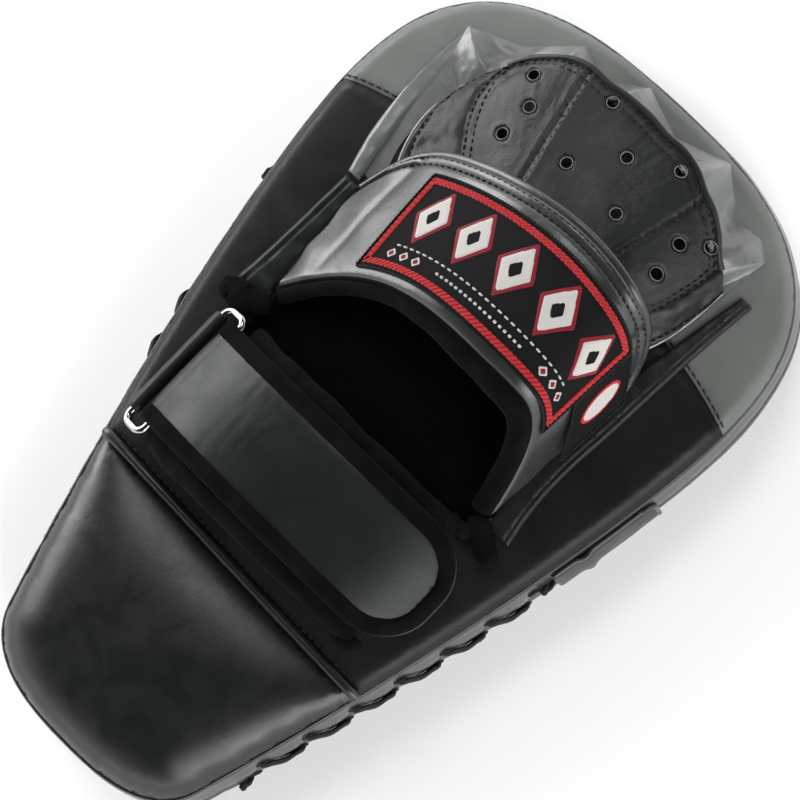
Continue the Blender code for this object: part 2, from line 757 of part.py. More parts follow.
def build_pocket():
    """The pleated leather that closes the glove from under the cover down to the pad."""
    columns = []
    for first, second in zip(POCKET_HEM, POCKET_HEM[1:]):
        for share in POCKET_COLUMNS:
            columns.append([mix(a, b, share) for a, b in zip(first, second)])
    columns.append(list(POCKET_HEM[-1]))
    grid = []
    for share in POCKET_ROWS:
        row = []
        for x, y, degrees, v in columns:
            top = finger_point(math.radians(degrees), v, COVER_THICKNESS + POCKET_PLAY)
            hem_z = back_height(x, y) + POCKET_THICKNESS + 2.0 * GAP
            low = mix(top[2] - POCKET_DROP, hem_z, share ** POCKET_RISE)
            here = (mix(top[0], x, share), mix(top[1], y, share))
            row.append((*here, max(low, hem_z + 0.5 * GAP)))
        grid.append(row)
    sheet("finger_pocket", grid, POCKET_THICKNESS, PALE_LEATHER)


def point_along(line, share):
    """The point at a share of a line's bends."""
    spot = share * (len(line) - 1.0)
    i = min(int(spot), len(line) - 2)
    return Vector(line[i]).lerp(Vector(line[i + 1]), spot - i)


def pad_strip(name, edges, thickness, look, rows):
    """A strip lying on the pad's back between two edges."""
    grid = []
    for share in spread(0.0, 1.0, rows):
        left = point_along(edges[0], share)
        right = point_along(edges[1], share)
        across = [left, left.lerp(right, 0.5), right]
        grid.append([(p.x, p.y, back_height(p.x, p.y) + GAP) for p in across])
    sheet(name, grid, thickness, look, offset=1.0)


def build_flanges():
    pad_strip("flange_left", FLANGE_LEFT, FLANGE_THICKNESS, BLACK_LEATHER, 7)
    pad_strip("flange_right", FLANGE_RIGHT, FLANGE_THICKNESS, BLACK_LEATHER, 16)
    pad_strip("pocket_strip", POCKET_STRIP, FLANGE_THICKNESS, PALE_LEATHER, 7)
    pad_strip("end_tab_left", END_TAB_LEFT, END_TAB_THICKNESS, VELOUR, 3)
    pad_strip("end_tab_right", END_TAB_RIGHT, END_TAB_THICKNESS, VELOUR, 3)
    pad_strip("glove_base_lining", GLOVE_FLOOR, LINING_THICKNESS, VELOUR, 8)


# ---------------------------------------------------------------- wrist strap

def strap_z(x, crown, end, half, middle):
    return end + (crown - end) * (1.0 - min(abs((x - middle) / half), 1.0) ** STRAP_POWER)


def cuff_point(x, y, lift):
    return x, y, strap_z(x, CUFF_CROWN_Z, CUFF_END_Z, CUFF_HALF, CUFF_X) + lift


def strap_point(x, y, lift):
    """A point of the strap's top face."""
    middle = mix(RING_INNER[0], STRAP_END_X, 0.5)
    half = (STRAP_END_X - RING_INNER[0]) / 2.0
    left_z = RING_INNER[1] + FOLD_RADIUS
    end = mix(left_z, STRAP_END_Z, max(0.0, min(1.0, (x - RING_INNER[0]) / (2.0 * half))))
    return x, y, strap_z(x, STRAP_CROWN_Z, end, half, middle) + lift


def build_cuff():
    grid = []
    for y in spread(CUFF_LOW_Y, CUFF_HIGH_Y, 5):
        across = [CUFF_X + CUFF_HALF * math.sin(angle) for angle in angles(-90.0, 90.0, 15)]
        grid.append([cuff_point(x, y, 0.0) for x in across])
    sheet("wrist_cuff", grid, CUFF_THICKNESS, VELOUR)
    under = -STRAP_THICKNESS - PAD_DEPTH - GAP
    hook = [[strap_point(x, y, under) for x in spread(*HOOK_PAD_X, 9)] for y in PAD_Y]
    sheet("hook_pad", hook, PAD_THICKNESS, VELOUR, offset=1.0)
    loop = [[cuff_point(x, y, GAP) for x in spread(*LOOP_PAD_X, 9)] for y in PAD_Y]
    sheet("loop_pad", loop, PAD_THICKNESS, VELOUR, offset=1.0)


def strap_outline(x, inset):
    """Half the strap's width at x: straight, then a round end."""
    half = (STRAP_HIGH_Y - STRAP_LOW_Y) / 2.0 - inset
    corner = STRAP_CORNER - inset
    over = x - (STRAP_END_X - inset - corner)
    if over <= 0.0:
        return half
    return half - corner + math.sqrt(max(corner ** 2 - over ** 2, 0.0))


def strap_grid(first, last, inset, columns):
    middle = (STRAP_LOW_Y + STRAP_HIGH_Y) / 2.0
    grid = []
    for j in range(7):
        row = []
        for i in range(columns):
            x = mix(first, last, math.sin(0.5 * math.pi * i / (columns - 1.0)))
            y = middle + strap_outline(x, inset) * (j / 3.0 - 1.0)
            row.append(strap_point(x, y, 0.0))
        grid.append(row)
    return grid


def build_strap():
    first = RING_INNER[0] + GAP
    inner = strap_grid(first, STRAP_END_X - STRAP_BINDING - GAP, STRAP_BINDING + GAP, 15)
    sheet("strap_flap", inner, STRAP_THICKNESS, BLACK_LEATHER)
    edge = strap_grid(first, STRAP_END_X - GAP, GAP, 15)
    hem = strap_grid(first, STRAP_END_X - STRAP_BINDING, STRAP_BINDING, 15)
    border = edge[0] + [row[-1] for row in edge[1:-1]] + edge[-1][::-1]
    inside = hem[0] + [row[-1] for row in hem[1:-1]] + hem[-1][::-1]
    sheet("strap_binding", [border, inside], STRAP_THICKNESS + BINDING_EXTRA, VELOUR)


def build_ring():
    base = Vector((RING_OUTER[0], 0.0, RING_OUTER[1]))
    reach = Vector((RING_INNER[0], 0.0, RING_INNER[1])) - base
    across = reach.normalized()
    near = RING_CORNER
    far = reach.length - RING_CORNER
    low = RING_LOW_Y + RING_CORNER
    high = RING_HIGH_Y - RING_CORNER
    route = []
    for u, y, start in ((near, low, 180.0), (far, low, 270.0), (far, high, 0.0), (near, high, 90.0)):
        for angle in angles(start, start + 90.0, 5):
            place = base + across * (u + RING_CORNER * math.cos(angle))
            route.append((place.x, y + RING_CORNER * math.sin(angle), place.z))
    tube("ring", route, RING_WIRE, CHROME, cyclic=True)


def wrapped(name, centre, bore, radius, arc, ends, look):
    """A sleeve round a bar along Y: an arc of wall between two angles in degrees."""
    steps = 12
    points = []
    for y in ends:
        for wall in (radius, bore):
            for angle in angles(*arc, steps + 1):
                points.append((centre[0] + wall * math.cos(angle), y, centre[1] + wall * math.sin(angle)))
    ring = steps + 1
    section = list(range(ring)) + list(range(2 * ring - 1, ring - 1, -1))
    faces = [tuple(section[::-1]), tuple(i + 2 * ring for i in section)]
    for i in range(len(section)):
        a = section[i]
        b = section[(i + 1) % len(section)]
        faces.append((a, b, b + 2 * ring, a + 2 * ring))
    return make_object(name, points, faces, look)


def build_keepers():
    ends = (RING_LOW_Y + SLEEVE_INSET, RING_HIGH_Y - SLEEVE_INSET)
    wrapped("ring_keeper", RING_OUTER, SLEEVE_BORE, SLEEVE_RADIUS, SLEEVE_ARC, ends, BLACK_LEATHER)
    ends = (STRAP_LOW_Y, STRAP_HIGH_Y - FOLD_INSET)
    wrapped("strap_fold", RING_INNER, FOLD_BORE, FOLD_RADIUS, FOLD_ARC, ends, BLACK_LEATHER)


def main():
    clear_scene()
    front, rear = build_covers()
    build_foams()
    build_back()
    build_lacing(front, rear)
    build_knots()
    build_gusset_flap()
    build_band()
    build_cover()
    build_pocket()
    build_flanges()
    build_cuff()
    build_strap()
    build_ring()
    build_keepers()


main()
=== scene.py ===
"""Looks of a long focus mitt with a glove back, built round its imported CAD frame.

Shapes are worked out in millimetres in the frame's axes: +Y towards the fingers,
+X towards the steep side, +Z out of the back. Meshes are in metres.
"""
import json
import math

import bmesh
import bpy
import numpy as np
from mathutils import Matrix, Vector, noise
from mathutils.geometry import delaunay_2d_cdt

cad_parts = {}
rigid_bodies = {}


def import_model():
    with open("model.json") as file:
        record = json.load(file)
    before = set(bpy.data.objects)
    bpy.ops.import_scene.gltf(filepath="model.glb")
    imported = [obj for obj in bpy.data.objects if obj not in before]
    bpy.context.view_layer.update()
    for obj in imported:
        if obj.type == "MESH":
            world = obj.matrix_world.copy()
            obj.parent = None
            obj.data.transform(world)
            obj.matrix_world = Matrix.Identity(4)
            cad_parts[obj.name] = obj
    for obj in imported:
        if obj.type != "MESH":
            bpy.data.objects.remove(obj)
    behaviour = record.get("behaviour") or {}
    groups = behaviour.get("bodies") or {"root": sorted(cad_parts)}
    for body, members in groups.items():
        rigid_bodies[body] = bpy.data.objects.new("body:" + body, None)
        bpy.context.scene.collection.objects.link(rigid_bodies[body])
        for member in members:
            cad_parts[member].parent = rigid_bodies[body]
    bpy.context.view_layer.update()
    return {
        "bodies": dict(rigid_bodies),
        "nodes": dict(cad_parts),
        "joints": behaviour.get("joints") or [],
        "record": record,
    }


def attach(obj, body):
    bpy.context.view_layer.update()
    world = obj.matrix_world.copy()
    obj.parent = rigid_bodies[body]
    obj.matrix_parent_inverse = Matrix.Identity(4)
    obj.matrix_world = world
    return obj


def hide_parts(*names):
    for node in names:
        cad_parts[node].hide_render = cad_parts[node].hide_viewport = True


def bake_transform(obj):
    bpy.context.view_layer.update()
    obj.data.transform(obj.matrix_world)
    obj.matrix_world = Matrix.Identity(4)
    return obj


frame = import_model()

MM = 0.001
UP = (0.0, 0.0, 1.0)
SHARP = math.radians(50.0)

# Pad outline and section, as the CAD has them.
HALF_WIDTH = 104.8
WIDEST_Y = 88.0
FINGER_END = 84.5
TAPER_SCALE = 0.02455
TAPER_POWER = 1.396
WRIST_END_Y = -146.0
WRIST_END = 26.5
END_POWER = 2.7
SLIT_HIGH = 24.5
PANEL_INSET = 1.5
HEM_DROP = 4.0
SHOULDER_INSET = 6.3
SHOULDER_Z = 44.6
SHOULDER_SLOPE = 0.225
SHOULDER_DROP = 2.95
GUSSET_LEAN = 0.08
BACK_RISE = 3.6
BACK_FALLOFF = 16.0
TOP_SEAM_Y = 103.0
TOP_SEAM_DROP = 14.0
CUSHION_SEAM_Y = -76.0
CUSHION_SEAM_SLOPE = -0.035
CUSHION_RISE = 11.0
CUSHION_FALLOFF = 11.0
CUSHION_SEAM_FALLOFF = 16.0
PIPING_RADIUS = 2.1

# Lacing.
LACE_WIDTH = 4.4
LACE_THICKNESS = 2.0
LACE_OVER = 14.0
LACE_BEHIND = 6.0
LACE_FRONT_Z = 15.5
LACE_REAR_Z = 29.5
LACE_DEPTH = 3.9
# Side word, sign of X, first Y, turns, and the numbers of the passes that hang loose.
LACINGS = (("right", 1.0, -3.0, 7, ()), ("left", -1.0, 38.0, 9, (5, 7)))
LOOSE = 2.1

# Glove back: left base x, right base x, crown x, crown z, left power, right power.
GLOVE_BASE_Z = 48.8
BAND_REAR = (-62.0, 62.0, 20.0, 91.0, 1.7, 5.0)
BAND_FRONT = (-66.0, 66.5, 20.0, 92.5, 1.7, 5.5)
BAND_BULGE = 3.0
BAND_THICKNESS = 6.0
FINGER_REAR = (-56.0, 56.0, 18.0, 83.0, 1.7, 3.6)
FINGER_TIP = (-62.0, 67.0, 8.0, 71.0, 2.8, 3.2)
FINGER_BULGE = (10.0, 3.0)
# Sine of the angle of the cover's left and right seams, at the rear and at the front.
COVER_SEAMS = ((0.74, 0.90), (0.86, 0.90))
# Degrees down the arch at which each side gusset of the cover ends, at its rear and its front.
SIDE_LOW = {-1.0: (74.0, 71.0), 1.0: (75.0, 83.0)}
# How far the finger cover reaches back under the hand band.
COVER_TUCK = 5.0
COVER_THICKNESS = 1.6
RIM_RADIUS = 3.6

# Wrist strap.
STRAP_LOW_Y = -59.0
STRAP_HIGH_Y = -9.0
STRAP_END_X = 73.0
STRAP_CORNER = 21.0
STRAP_CROWN_Z = 80.2
STRAP_END_Z = 59.5
STRAP_THICKNESS = 2.4
STRAP_BINDING = 6.5
CUFF_LOW_Y = -67.0
CUFF_HIGH_Y = -3.0
CUFF_HALF = 55.0
CUFF_X = 2.0
CUFF_CROWN_Z = 74.0
CUFF_THICKNESS = 6.0
CUFF_END_Z = 55.4
RING_WIRE = 1.7
RING_CORNER = 3.6
RING_OUTER = (-67.5, 52.4)
RING_INNER = (-57.6, 57.0)
RING_LOW_Y = -64.5
RING_HIGH_Y = -5.5
SLEEVE_RADIUS = 3.8
FOLD_RADIUS = 4.9
STRAP_WRAP = 9.5
TAPE_Y = (-51.0, -17.0)
HOOK_X = (-34.0, 46.0)
LOOP_X = (-34.0, 40.0)


# ---------------------------------------------------------------- stage

CAMERA_TILT = 12.0
CAMERA_TURN = 46.0
CAMERA_DISTANCE = 1.25
CAMERA_AIM = (0.0, 0.0144, 0.025)
SEEN_WIDTH = 0.31224


def make_camera():
    """The camera looks down on the back, a little from the steep side, with the fingers up and right."""
    tilt, turn = math.radians(CAMERA_TILT), math.radians(CAMERA_TURN)
    back = Vector((math.sin(tilt), 0.0, math.cos(tilt)))
    across = Vector((math.cos(tilt), 0.0, -math.sin(tilt)))
    along = Vector((0.0, 1.0, 0.0))
    camera = bpy.data.cameras.new("camera")
    camera.sensor_width = 36.0
    camera.lens = camera.sensor_width * CAMERA_DISTANCE / SEEN_WIDTH
    item = bpy.data.objects.new("camera", camera)
    bpy.context.scene.collection.objects.link(item)
    turned = item.matrix_world.copy()
    axes = (along * math.cos(turn) + across * math.sin(turn),
            along * math.sin(turn) - across * math.cos(turn), back)
    for column, axis in enumerate(axes):
        for row in range(3):
            turned[row][column] = axis[row]
    turned.translation = Vector(CAMERA_AIM) + back * CAMERA_DISTANCE
    item.matrix_world = turned
    bpy.context.scene.camera = item


# Name, place, size and power of each lamp. All of them aim at one place.
LAMPS = (("key", (-1.45, 0.10, 0.62), (1.4, 0.7), 30.0), ("fill", (1.20, -0.30, 0.80), (1.1, 0.9), 18.5),
         ("overhead", (-0.5, 0.75, 1.5), (0.6, 0.6), 7.0))
LAMP_AIM = (0.0, 0.03, 0.04)


def area_light(name, place, size, power):
    lamp = bpy.data.lights.new(name, "AREA")
    lamp.shape = "RECTANGLE"
    lamp.size, lamp.size_y = size
    lamp.energy = power
    item = bpy.data.objects.new(name, lamp)
    item.location = place
    item.rotation_euler = (Vector(LAMP_AIM) - Vector(place)).to_track_quat("-Z", "Y").to_euler()
    bpy.context.scene.collection.objects.link(item)


FLOOR_HALF = 6.0
FLOOR_Z = -0.0004
HORIZON_LIGHT = 2.8
ZENITH_LIGHT = 0.05


def make_stage():
    """A pale floor under a sky that is bright near the horizon, and the lamps."""
    material = bpy.data.materials.new("floor")
    material.use_nodes = True
    tree = material.node_tree
    fill_in(tree, tree.nodes["Principled BSDF"], Base_Color=(0.93, 0.93, 0.93, 1.0), Roughness=0.9)
    mesh = bpy.data.meshes.new("floor")
    corners = [(x * FLOOR_HALF, y * FLOOR_HALF, FLOOR_Z) for x, y in ((-1, -1), (1, -1), (1, 1), (-1, 1))]
    mesh.from_pydata(corners, [], [(0, 1, 2, 3)])
    mesh.materials.append(material)
    floor = bpy.data.objects.new("floor", mesh)
    bpy.context.scene.collection.objects.link(floor)
    world = bpy.data.worlds.new("studio")
    world.use_nodes = True
    tree = world.node_tree
    split = add_node(tree, "SeparateXYZ", Vector=add_node(tree, "TexCoord").outputs["Generated"])
    fill_in(tree, tree.nodes["Background"], Color=(1.0, 1.0, 1.0, 1.0),
            Strength=ranged(tree, split.outputs["Z"], HORIZON_LIGHT, ZENITH_LIGHT, 0.15, 0.6))
    bpy.context.scene.world = world
    bpy.context.scene.view_settings.view_transform = "Standard"
    for lamp in LAMPS:
        area_light(*lamp)


# ---------------------------------------------------------------- materials

def fill_in(tree, node, **inputs):
    """Sets inputs, named with _ for a space, or links them where the value is another node's socket."""
    for key, value in inputs.items():
        socket = node.inputs[key.replace("_", " ")]
        if isinstance(value, bpy.types.NodeSocket):
            tree.links.new(value, socket)
        else:
            socket.default_value = value
    return node


def add_node(tree, kind, settings=(), **inputs):
    node = tree.nodes.new("ShaderNode" + kind)
    for key, value in settings:
        setattr(node, key, value)
    return fill_in(tree, node, **inputs)


def mixed_color(tree, factor, low, high):
    return add_node(tree, "Mix", [("data_type", "RGBA")], A=(*low, 1.0), B=(*high, 1.0),
                    Factor=factor).outputs["Result"]


def ranged(tree, value, low, high, from_low=0.0, from_high=1.0):
    return add_node(tree, "MapRange", Value=value, From_Min=from_low, From_Max=from_high, To_Min=low,
                    To_Max=high).outputs["Result"]


def bumped(tree, height, strength, distance, **below):
    return add_node(tree, "Bump", Strength=strength, Distance=distance, Height=height,
                    **below).outputs["Normal"]


def new_material(name):
    """A material, its node tree, its shader and the object's own coordinates."""
    material = bpy.data.materials.new(name)
    material.use_nodes = True
    tree = material.node_tree
    return material, tree, tree.nodes["Principled BSDF"], add_node(tree, "TexCoord").outputs["Object"]


def leather(name, color, roughness, grain=0.25, crease=0.3, coat=0.0, gloss=0.5):
    """Grained leather: pebbles about a millimetre across, faint creases, and lighter high spots."""
    material, tree, shader, place = new_material(name)
    pebbles = add_node(tree, "TexVoronoi", [("feature", "DISTANCE_TO_EDGE")], Vector=place, Scale=950.0)
    fine = add_node(tree, "TexNoise", Vector=place, Scale=420.0, Detail=5.0)
    creases = add_node(tree, "TexNoise", Vector=place, Scale=70.0, Detail=6.0, Distortion=0.8)
    cloud = add_node(tree, "TexNoise", Vector=place, Scale=16.0, Detail=3.0)
    light = tuple(min(1.0, c * 1.5 + 0.002) for c in color)
    patches = ranged(tree, cloud.outputs["Fac"], 0.0, 1.0, 0.35, 0.7)
    normal = bumped(tree, ranged(tree, pebbles.outputs["Distance"], 0.0, 1.0, 0.0, 0.35), grain, 0.00018)
    normal = bumped(tree, fine.outputs["Fac"], grain, 0.00025, Normal=normal)
    normal = bumped(tree, creases.outputs["Fac"], crease, 0.0012, Normal=normal)
    fill_in(tree, shader, Base_Color=mixed_color(tree, patches, color, light), Normal=normal,
            Roughness=ranged(tree, creases.outputs["Fac"], roughness - 0.05, roughness + 0.07, 0.3, 0.7),
            Specular_IOR_Level=gloss, Coat_Weight=coat, Coat_Roughness=0.28)
    return material


def velour(name, color, sheen):
    """Short black pile that catches a little light at its edges."""
    material, tree, shader, place = new_material(name)
    fibres = add_node(tree, "TexNoise", Vector=place, Scale=1400.0, Detail=3.0)
    patches = add_node(tree, "TexNoise", Vector=place, Scale=90.0, Detail=4.0)
    share = ranged(tree, patches.outputs["Fac"], 0.0, 1.0, 0.35, 0.7)
    fill_in(tree, shader, Base_Color=mixed_color(tree, share, color, tuple(c * 2.2 for c in color)),
            Normal=bumped(tree, fibres.outputs["Fac"], 0.6, 0.0003), Roughness=0.95, Specular_IOR_Level=0.05,
            Sheen_Weight=sheen, Sheen_Roughness=0.4)
    return material


def woven(name, color, scale=1600.0, strength=0.5, roughness=0.75, sheen=0.1):
    """Twill or thread: two crossed fine waves."""
    material, tree, shader, place = new_material(name)
    both = add_node(tree, "Math", [("operation", "MULTIPLY")])
    for direction, socket in zip(("DIAGONAL", "Y"), both.inputs):
        wave = add_node(tree, "TexWave", [("bands_direction", direction)], Vector=place, Scale=scale,
                        Distortion=1.5)
        tree.links.new(wave.outputs["Fac"], socket)
    weave = both.outputs["Value"]
    fill_in(tree, shader, Base_Color=mixed_color(tree, weave, tuple(c * 0.62 for c in color), color),
            Normal=bumped(tree, weave, strength, 0.0002), Roughness=roughness, Specular_IOR_Level=0.10,
            Sheen_Weight=sheen)
    return material


def polished(name):
    """Chrome wire with faint draw marks."""
    material, tree, shader, place = new_material(name)
    marks = add_node(tree, "TexNoise", Vector=place, Scale=300.0)
    fill_in(tree, shader, Base_Color=(0.30, 0.31, 0.33, 1.0), Metallic=1.0,
            Roughness=ranged(tree, marks.outputs["Fac"], 0.08, 0.2))
    return material


MATERIALS = {
    "top": leather("pale_leather", (0.100, 0.107, 0.100), 0.36, grain=0.10, crease=0.10, gloss=0.18),
    "pleat": leather("pleated_leather", (0.085, 0.091, 0.087), 0.30, grain=0.12, crease=0.22, coat=0.3,
                     gloss=0.4),
    "middle": leather("satin_leather", (0.0058, 0.0060, 0.0060), 0.38, grain=0.06, crease=0.05, gloss=0.16),
    "cushion": leather("cushion_leather", (0.0036, 0.0044, 0.0041), 0.33, grain=0.08, crease=0.08,
                       gloss=0.42),
    "side": leather("side_leather", (0.014, 0.015, 0.0145), 0.28, grain=0.08, crease=0.12, coat=0.25,
                    gloss=0.35),
    "band": leather("band_leather", (0.017, 0.019, 0.018), 0.26, grain=0.12, crease=0.20, gloss=0.5),
    "cover": leather("cover_leather", (0.010, 0.0115, 0.0105), 0.34, grain=0.20, crease=0.30, gloss=0.17),
    "strap": leather("strap_leather", (0.0068, 0.0090, 0.0083), 0.34, grain=0.08, crease=0.08, gloss=0.18),
    "velour": velour("velour", (0.0018, 0.0018, 0.0020), sheen=0.015),
    "lining": velour("dark_lining", (0.0004, 0.0004, 0.0005), sheen=0.0),
    "lace": woven("lace_weave", (0.012, 0.012, 0.012), scale=900.0),
    "hook": woven("hook_and_loop", (0.010, 0.010, 0.011), scale=700.0, strength=1.0, roughness=0.95),
    "thread": woven("black_thread", (0.006, 0.006, 0.006), scale=2500.0),
    "label": woven("label_twill", (0.0065, 0.006, 0.007), scale=1500.0, sheen=0.0),
    "red": woven("red_thread", (0.55, 0.012, 0.016), scale=2200.0, sheen=0.2),
    "dark_red": woven("dark_red_thread", (0.24, 0.006, 0.016), scale=2200.0, sheen=0.2),
    "white": woven("white_thread", (0.62, 0.60, 0.57), scale=2200.0, sheen=0.2),
    # A pale leather that paints the highlight along the lower edges of the cover's side gussets.
    "painted_highlight": leather("painted_edge_highlight", (0.22, 0.23, 0.22), 0.5, grain=0.3),
    "chrome": polished("chrome"),
}


# ---------------------------------------------------------------- mesh helpers

def edited(mesh, edit=None):
    """Edits a mesh through bmesh, and turns its faces outwards."""
    work = bmesh.new()
    work.from_mesh(mesh)
    if edit:
        edit(work)
    bmesh.ops.recalc_face_normals(work, faces=work.faces)
    work.to_mesh(mesh)
    work.free()


def shade(mesh):
    mesh.shade_smooth()
    mesh.set_sharp_from_angle(angle=SHARP)


def add_piece(name, points, faces, look, body="pad", replaces=(), closed=True):
    """A smooth piece from points in millimetres, riding on a CAD body."""
    mesh = bpy.data.meshes.new(name)
    mesh.from_pydata([tuple(float(c) * MM for c in p) for p in points], [], faces)
    mesh.validate()
    if closed:
        edited(mesh)
    elif sum(face.normal.z * face.area for face in mesh.polygons) < 0.0:
        mesh.flip_normals()
    shade(mesh)
    mesh.materials.append(MATERIALS[look])
    item = bpy.data.objects.new(name, mesh)
    bpy.context.scene.collection.objects.link(item)
    if replaces:
        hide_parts(*replaces)
    if body:
        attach(item, body)
    return item


def thicken(item, thickness):
    solid = item.modifiers.new("thickness", "SOLIDIFY")
    solid.thickness = thickness * MM
    solid.offset = -1.0


def grid_faces(rows, columns, wrap_rows=False, wrap_columns=False):
    faces = []
    for i in range(rows if wrap_rows else rows - 1):
        k = (i + 1) % rows
        for j in range(columns if wrap_columns else columns - 1):
            m = (j + 1) % columns
            faces.append((i * columns + j, i * columns + m, k * columns + m, k * columns + j))
    return faces


def capped_faces(rows, columns):
    """Faces of a stack of rings, with a ladder of faces across each end ring."""
    faces = grid_faces(rows, columns, wrap_columns=True)
    for start in (0, (rows - 1) * columns):
        for j in range(columns // 2 - 1):
            far = start + columns - 1 - j
            faces.append((start + j, start + j + 1, far - 1, far))
    return faces


def shell_points(grid):
    """The points of a stack of rings, from rows of (upper, lower) pairs."""
    return [p for row in grid for p in [upper for upper, _ in row] + [lower for _, lower in reversed(row)]]


def add_shell(name, grid, look, **options):
    """A solid between two faces, from rows of (upper, lower) pairs of points."""
    return add_piece(name, shell_points(grid), capped_faces(len(grid), 2 * len(grid[0])), look, **options)


def swept(name, centres, section, look, cyclic=False, up=UP, **options):
    """A solid swept along centres. section(i, share) gives (across, up) offsets, and up may be a list."""
    count = len(centres)
    centres = [Vector(c) for c in centres]
    rings = []
    for i, centre in enumerate(centres):
        before = centres[i - 1] if i or cyclic else centre
        after = centres[(i + 1) % count] if i + 1 < count or cyclic else centre
        along = (after - before).normalized()
        rise = Vector(up[i]) if len(up) == count else Vector(up)
        rise = (rise - along * rise.dot(along)).normalized()
        across = along.cross(rise)
        rings.append([centre + across * a + rise * b for a, b in section(i, i / max(count - 1, 1))])
    columns = len(rings[0])
    faces = grid_faces(count, columns, wrap_rows=cyclic, wrap_columns=True)
    if not cyclic:
        faces.append(tuple(range(columns)))
        faces.append(tuple(range((count - 1) * columns, count * columns)))
    return add_piece(name, [p for ring in rings for p in ring], faces, look, **options)


def oval(width, height, sides=12):
    return [(width * math.cos(2.0 * math.pi * k / sides), height * math.sin(2.0 * math.pi * k / sides))
            for k in range(sides)]


def tube(name, centres, radius, look, wobble=0.0, sides=12, **options):
    """A round tube that swells and shrinks a little along its length."""
    def section(i, share):
        swell = 1.0 + wobble * noise.noise(Vector(centres[i]) * 0.11)
        return oval(radius * swell, radius * swell, sides)
    return swept(name, centres, section, look, **options)


def add_rims(name, hoops, width, height, look):
    """Small rounded rims. Each hoop is a closed list of (spot, spoke, normal)."""
    points = []
    faces = []
    for hoop in hoops:
        start = len(points)
        points += [spot + spoke * a + normal * b
                   for spot, spoke, normal in hoop for a, b in oval(width, height, 6)]
        faces += [tuple(i + start for i in f) for f in grid_faces(len(hoop), 6, True, True)]
    add_piece(name, points, faces, look)


def steps_along(line):
    """How far along a line each of its points lies."""
    return np.r_[0.0, np.cumsum(np.linalg.norm(np.diff(line, axis=0), axis=1))]


# A stitch: reach along the thread, width and rise of each ring, as shares of its length and radius.
STITCH_SHAPE = ((-0.5, 0.15, -0.7), (-0.38, 0.8, -0.1), (0.0, 1.0, 0.25), (0.38, 0.8, -0.1),
                (0.5, 0.15, -0.7))
STITCH_SIDES = 6


def stitches(name, lines, look="thread", pitch=3.4, length=2.4, radius=0.38):
    """Rows of thread: a small capsule for each stitch. A line is a list of (point, normal)."""
    points = []
    faces = []
    sides = STITCH_SIDES
    for line in lines:
        places = np.array([p for p, _ in line], float)
        lifts = np.array([n for _, n in line], float)
        steps = steps_along(places)
        for k in range(int(steps[-1] / pitch)):
            spot = [np.interp((k + 0.5) * pitch + d, steps, places[:, a]) for d in (-0.5, 0.5)
                    for a in range(3)]
            start, end = Vector(spot[:3]), Vector(spot[3:])
            lift = Vector([np.interp((k + 0.5) * pitch, steps, lifts[:, a]) for a in range(3)]).normalized()
            along = (end - start).normalized()
            across = along.cross(lift).normalized()
            centre = (start + end) / 2.0
            first = len(points)
            for reach, width, rise in STITCH_SHAPE:
                for a, b in oval(1.0, 1.0, sides):
                    off = across * a + lift * b
                    points.append(centre + along * (reach * length) + off * (radius * width)
                                  + lift * (radius * rise))
            rings = len(STITCH_SHAPE)
            faces += [tuple(first + i for i in f) for f in grid_faces(rings, sides, wrap_columns=True)]
            for end in (first, first + (rings - 1) * sides):
                faces.append(tuple(range(end, end + sides)))
    add_piece(name, points, faces, look)


def ripple(point, scale, seed=0.0):
    return noise.noise(Vector((point[0] / scale + seed, point[1] / scale, point[2] / scale)))


def mix(a, b, share):
    return a + (b - a) * share


def spread(first, last, count):
    return [mix(first, last, i / (count - 1.0)) for i in range(count)]


def smooth_step(value):
    value = max(0.0, min(1.0, value))
    return value * value * (3.0 - 2.0 * value)


# ---------------------------------------------------------------- pad shape

def half_width(y):
    if y > WIDEST_Y:
        reach = min((y - WIDEST_Y) / FINGER_END, 1.0)
        return HALF_WIDTH * (1.0 - reach ** END_POWER) ** (1.0 / END_POWER)
    width = HALF_WIDTH - TAPER_SCALE * (WIDEST_Y - y) ** TAPER_POWER
    if y < WRIST_END_Y:
        reach = min((WRIST_END_Y - y) / WRIST_END, 1.0)
        width *= (1.0 - reach ** END_POWER) ** (1.0 / END_POWER)
    return width


def even_outline(count):
    """Points evenly spread along the outline, and the inward normal at each."""
    low = WRIST_END_Y - WRIST_END
    high = WIDEST_Y + FINGER_END
    turn = np.linspace(0.0, math.pi, 600)
    y = (low + high) / 2.0 - (high - low) / 2.0 * np.cos(turn)
    x = np.array([half_width(v) for v in y])
    loop = np.r_[np.c_[x, y], np.c_[-x[::-1], y[::-1]][1:]]
    steps = steps_along(loop)
    spots = np.arange(count) * steps[-1] / count
    points = np.c_[np.interp(spots, steps, loop[:, 0]), np.interp(spots, steps, loop[:, 1])]
    along = np.roll(points, -1, axis=0) - np.roll(points, 1, axis=0)
    along /= np.linalg.norm(along, axis=1)[:, None]
    return points, np.c_[-along[:, 1], along[:, 0]]


RIM_POINTS = 480
RIM, RIM_NORMAL = even_outline(RIM_POINTS)


# Points handled at a time, so that the tables of distances stay small.
BLOCK = 2000


def nearest(line, points):
    """The distance from each point to a dense line's nearest vertex, and how far along that vertex is."""
    steps = steps_along(line)
    gaps = np.empty(len(points))
    along = np.empty(len(points))
    for start in range(0, len(points), BLOCK):
        block = points[start:start + BLOCK]
        far = np.linalg.norm(block[:, None, :] - line[None, :, :], axis=2)
        index = far.argmin(axis=1)
        gaps[start:start + BLOCK] = far[np.arange(len(block)), index]
        along[start:start + BLOCK] = steps[index]
    return gaps, along


def distance_to(line, points):
    return nearest(line, points)[0]


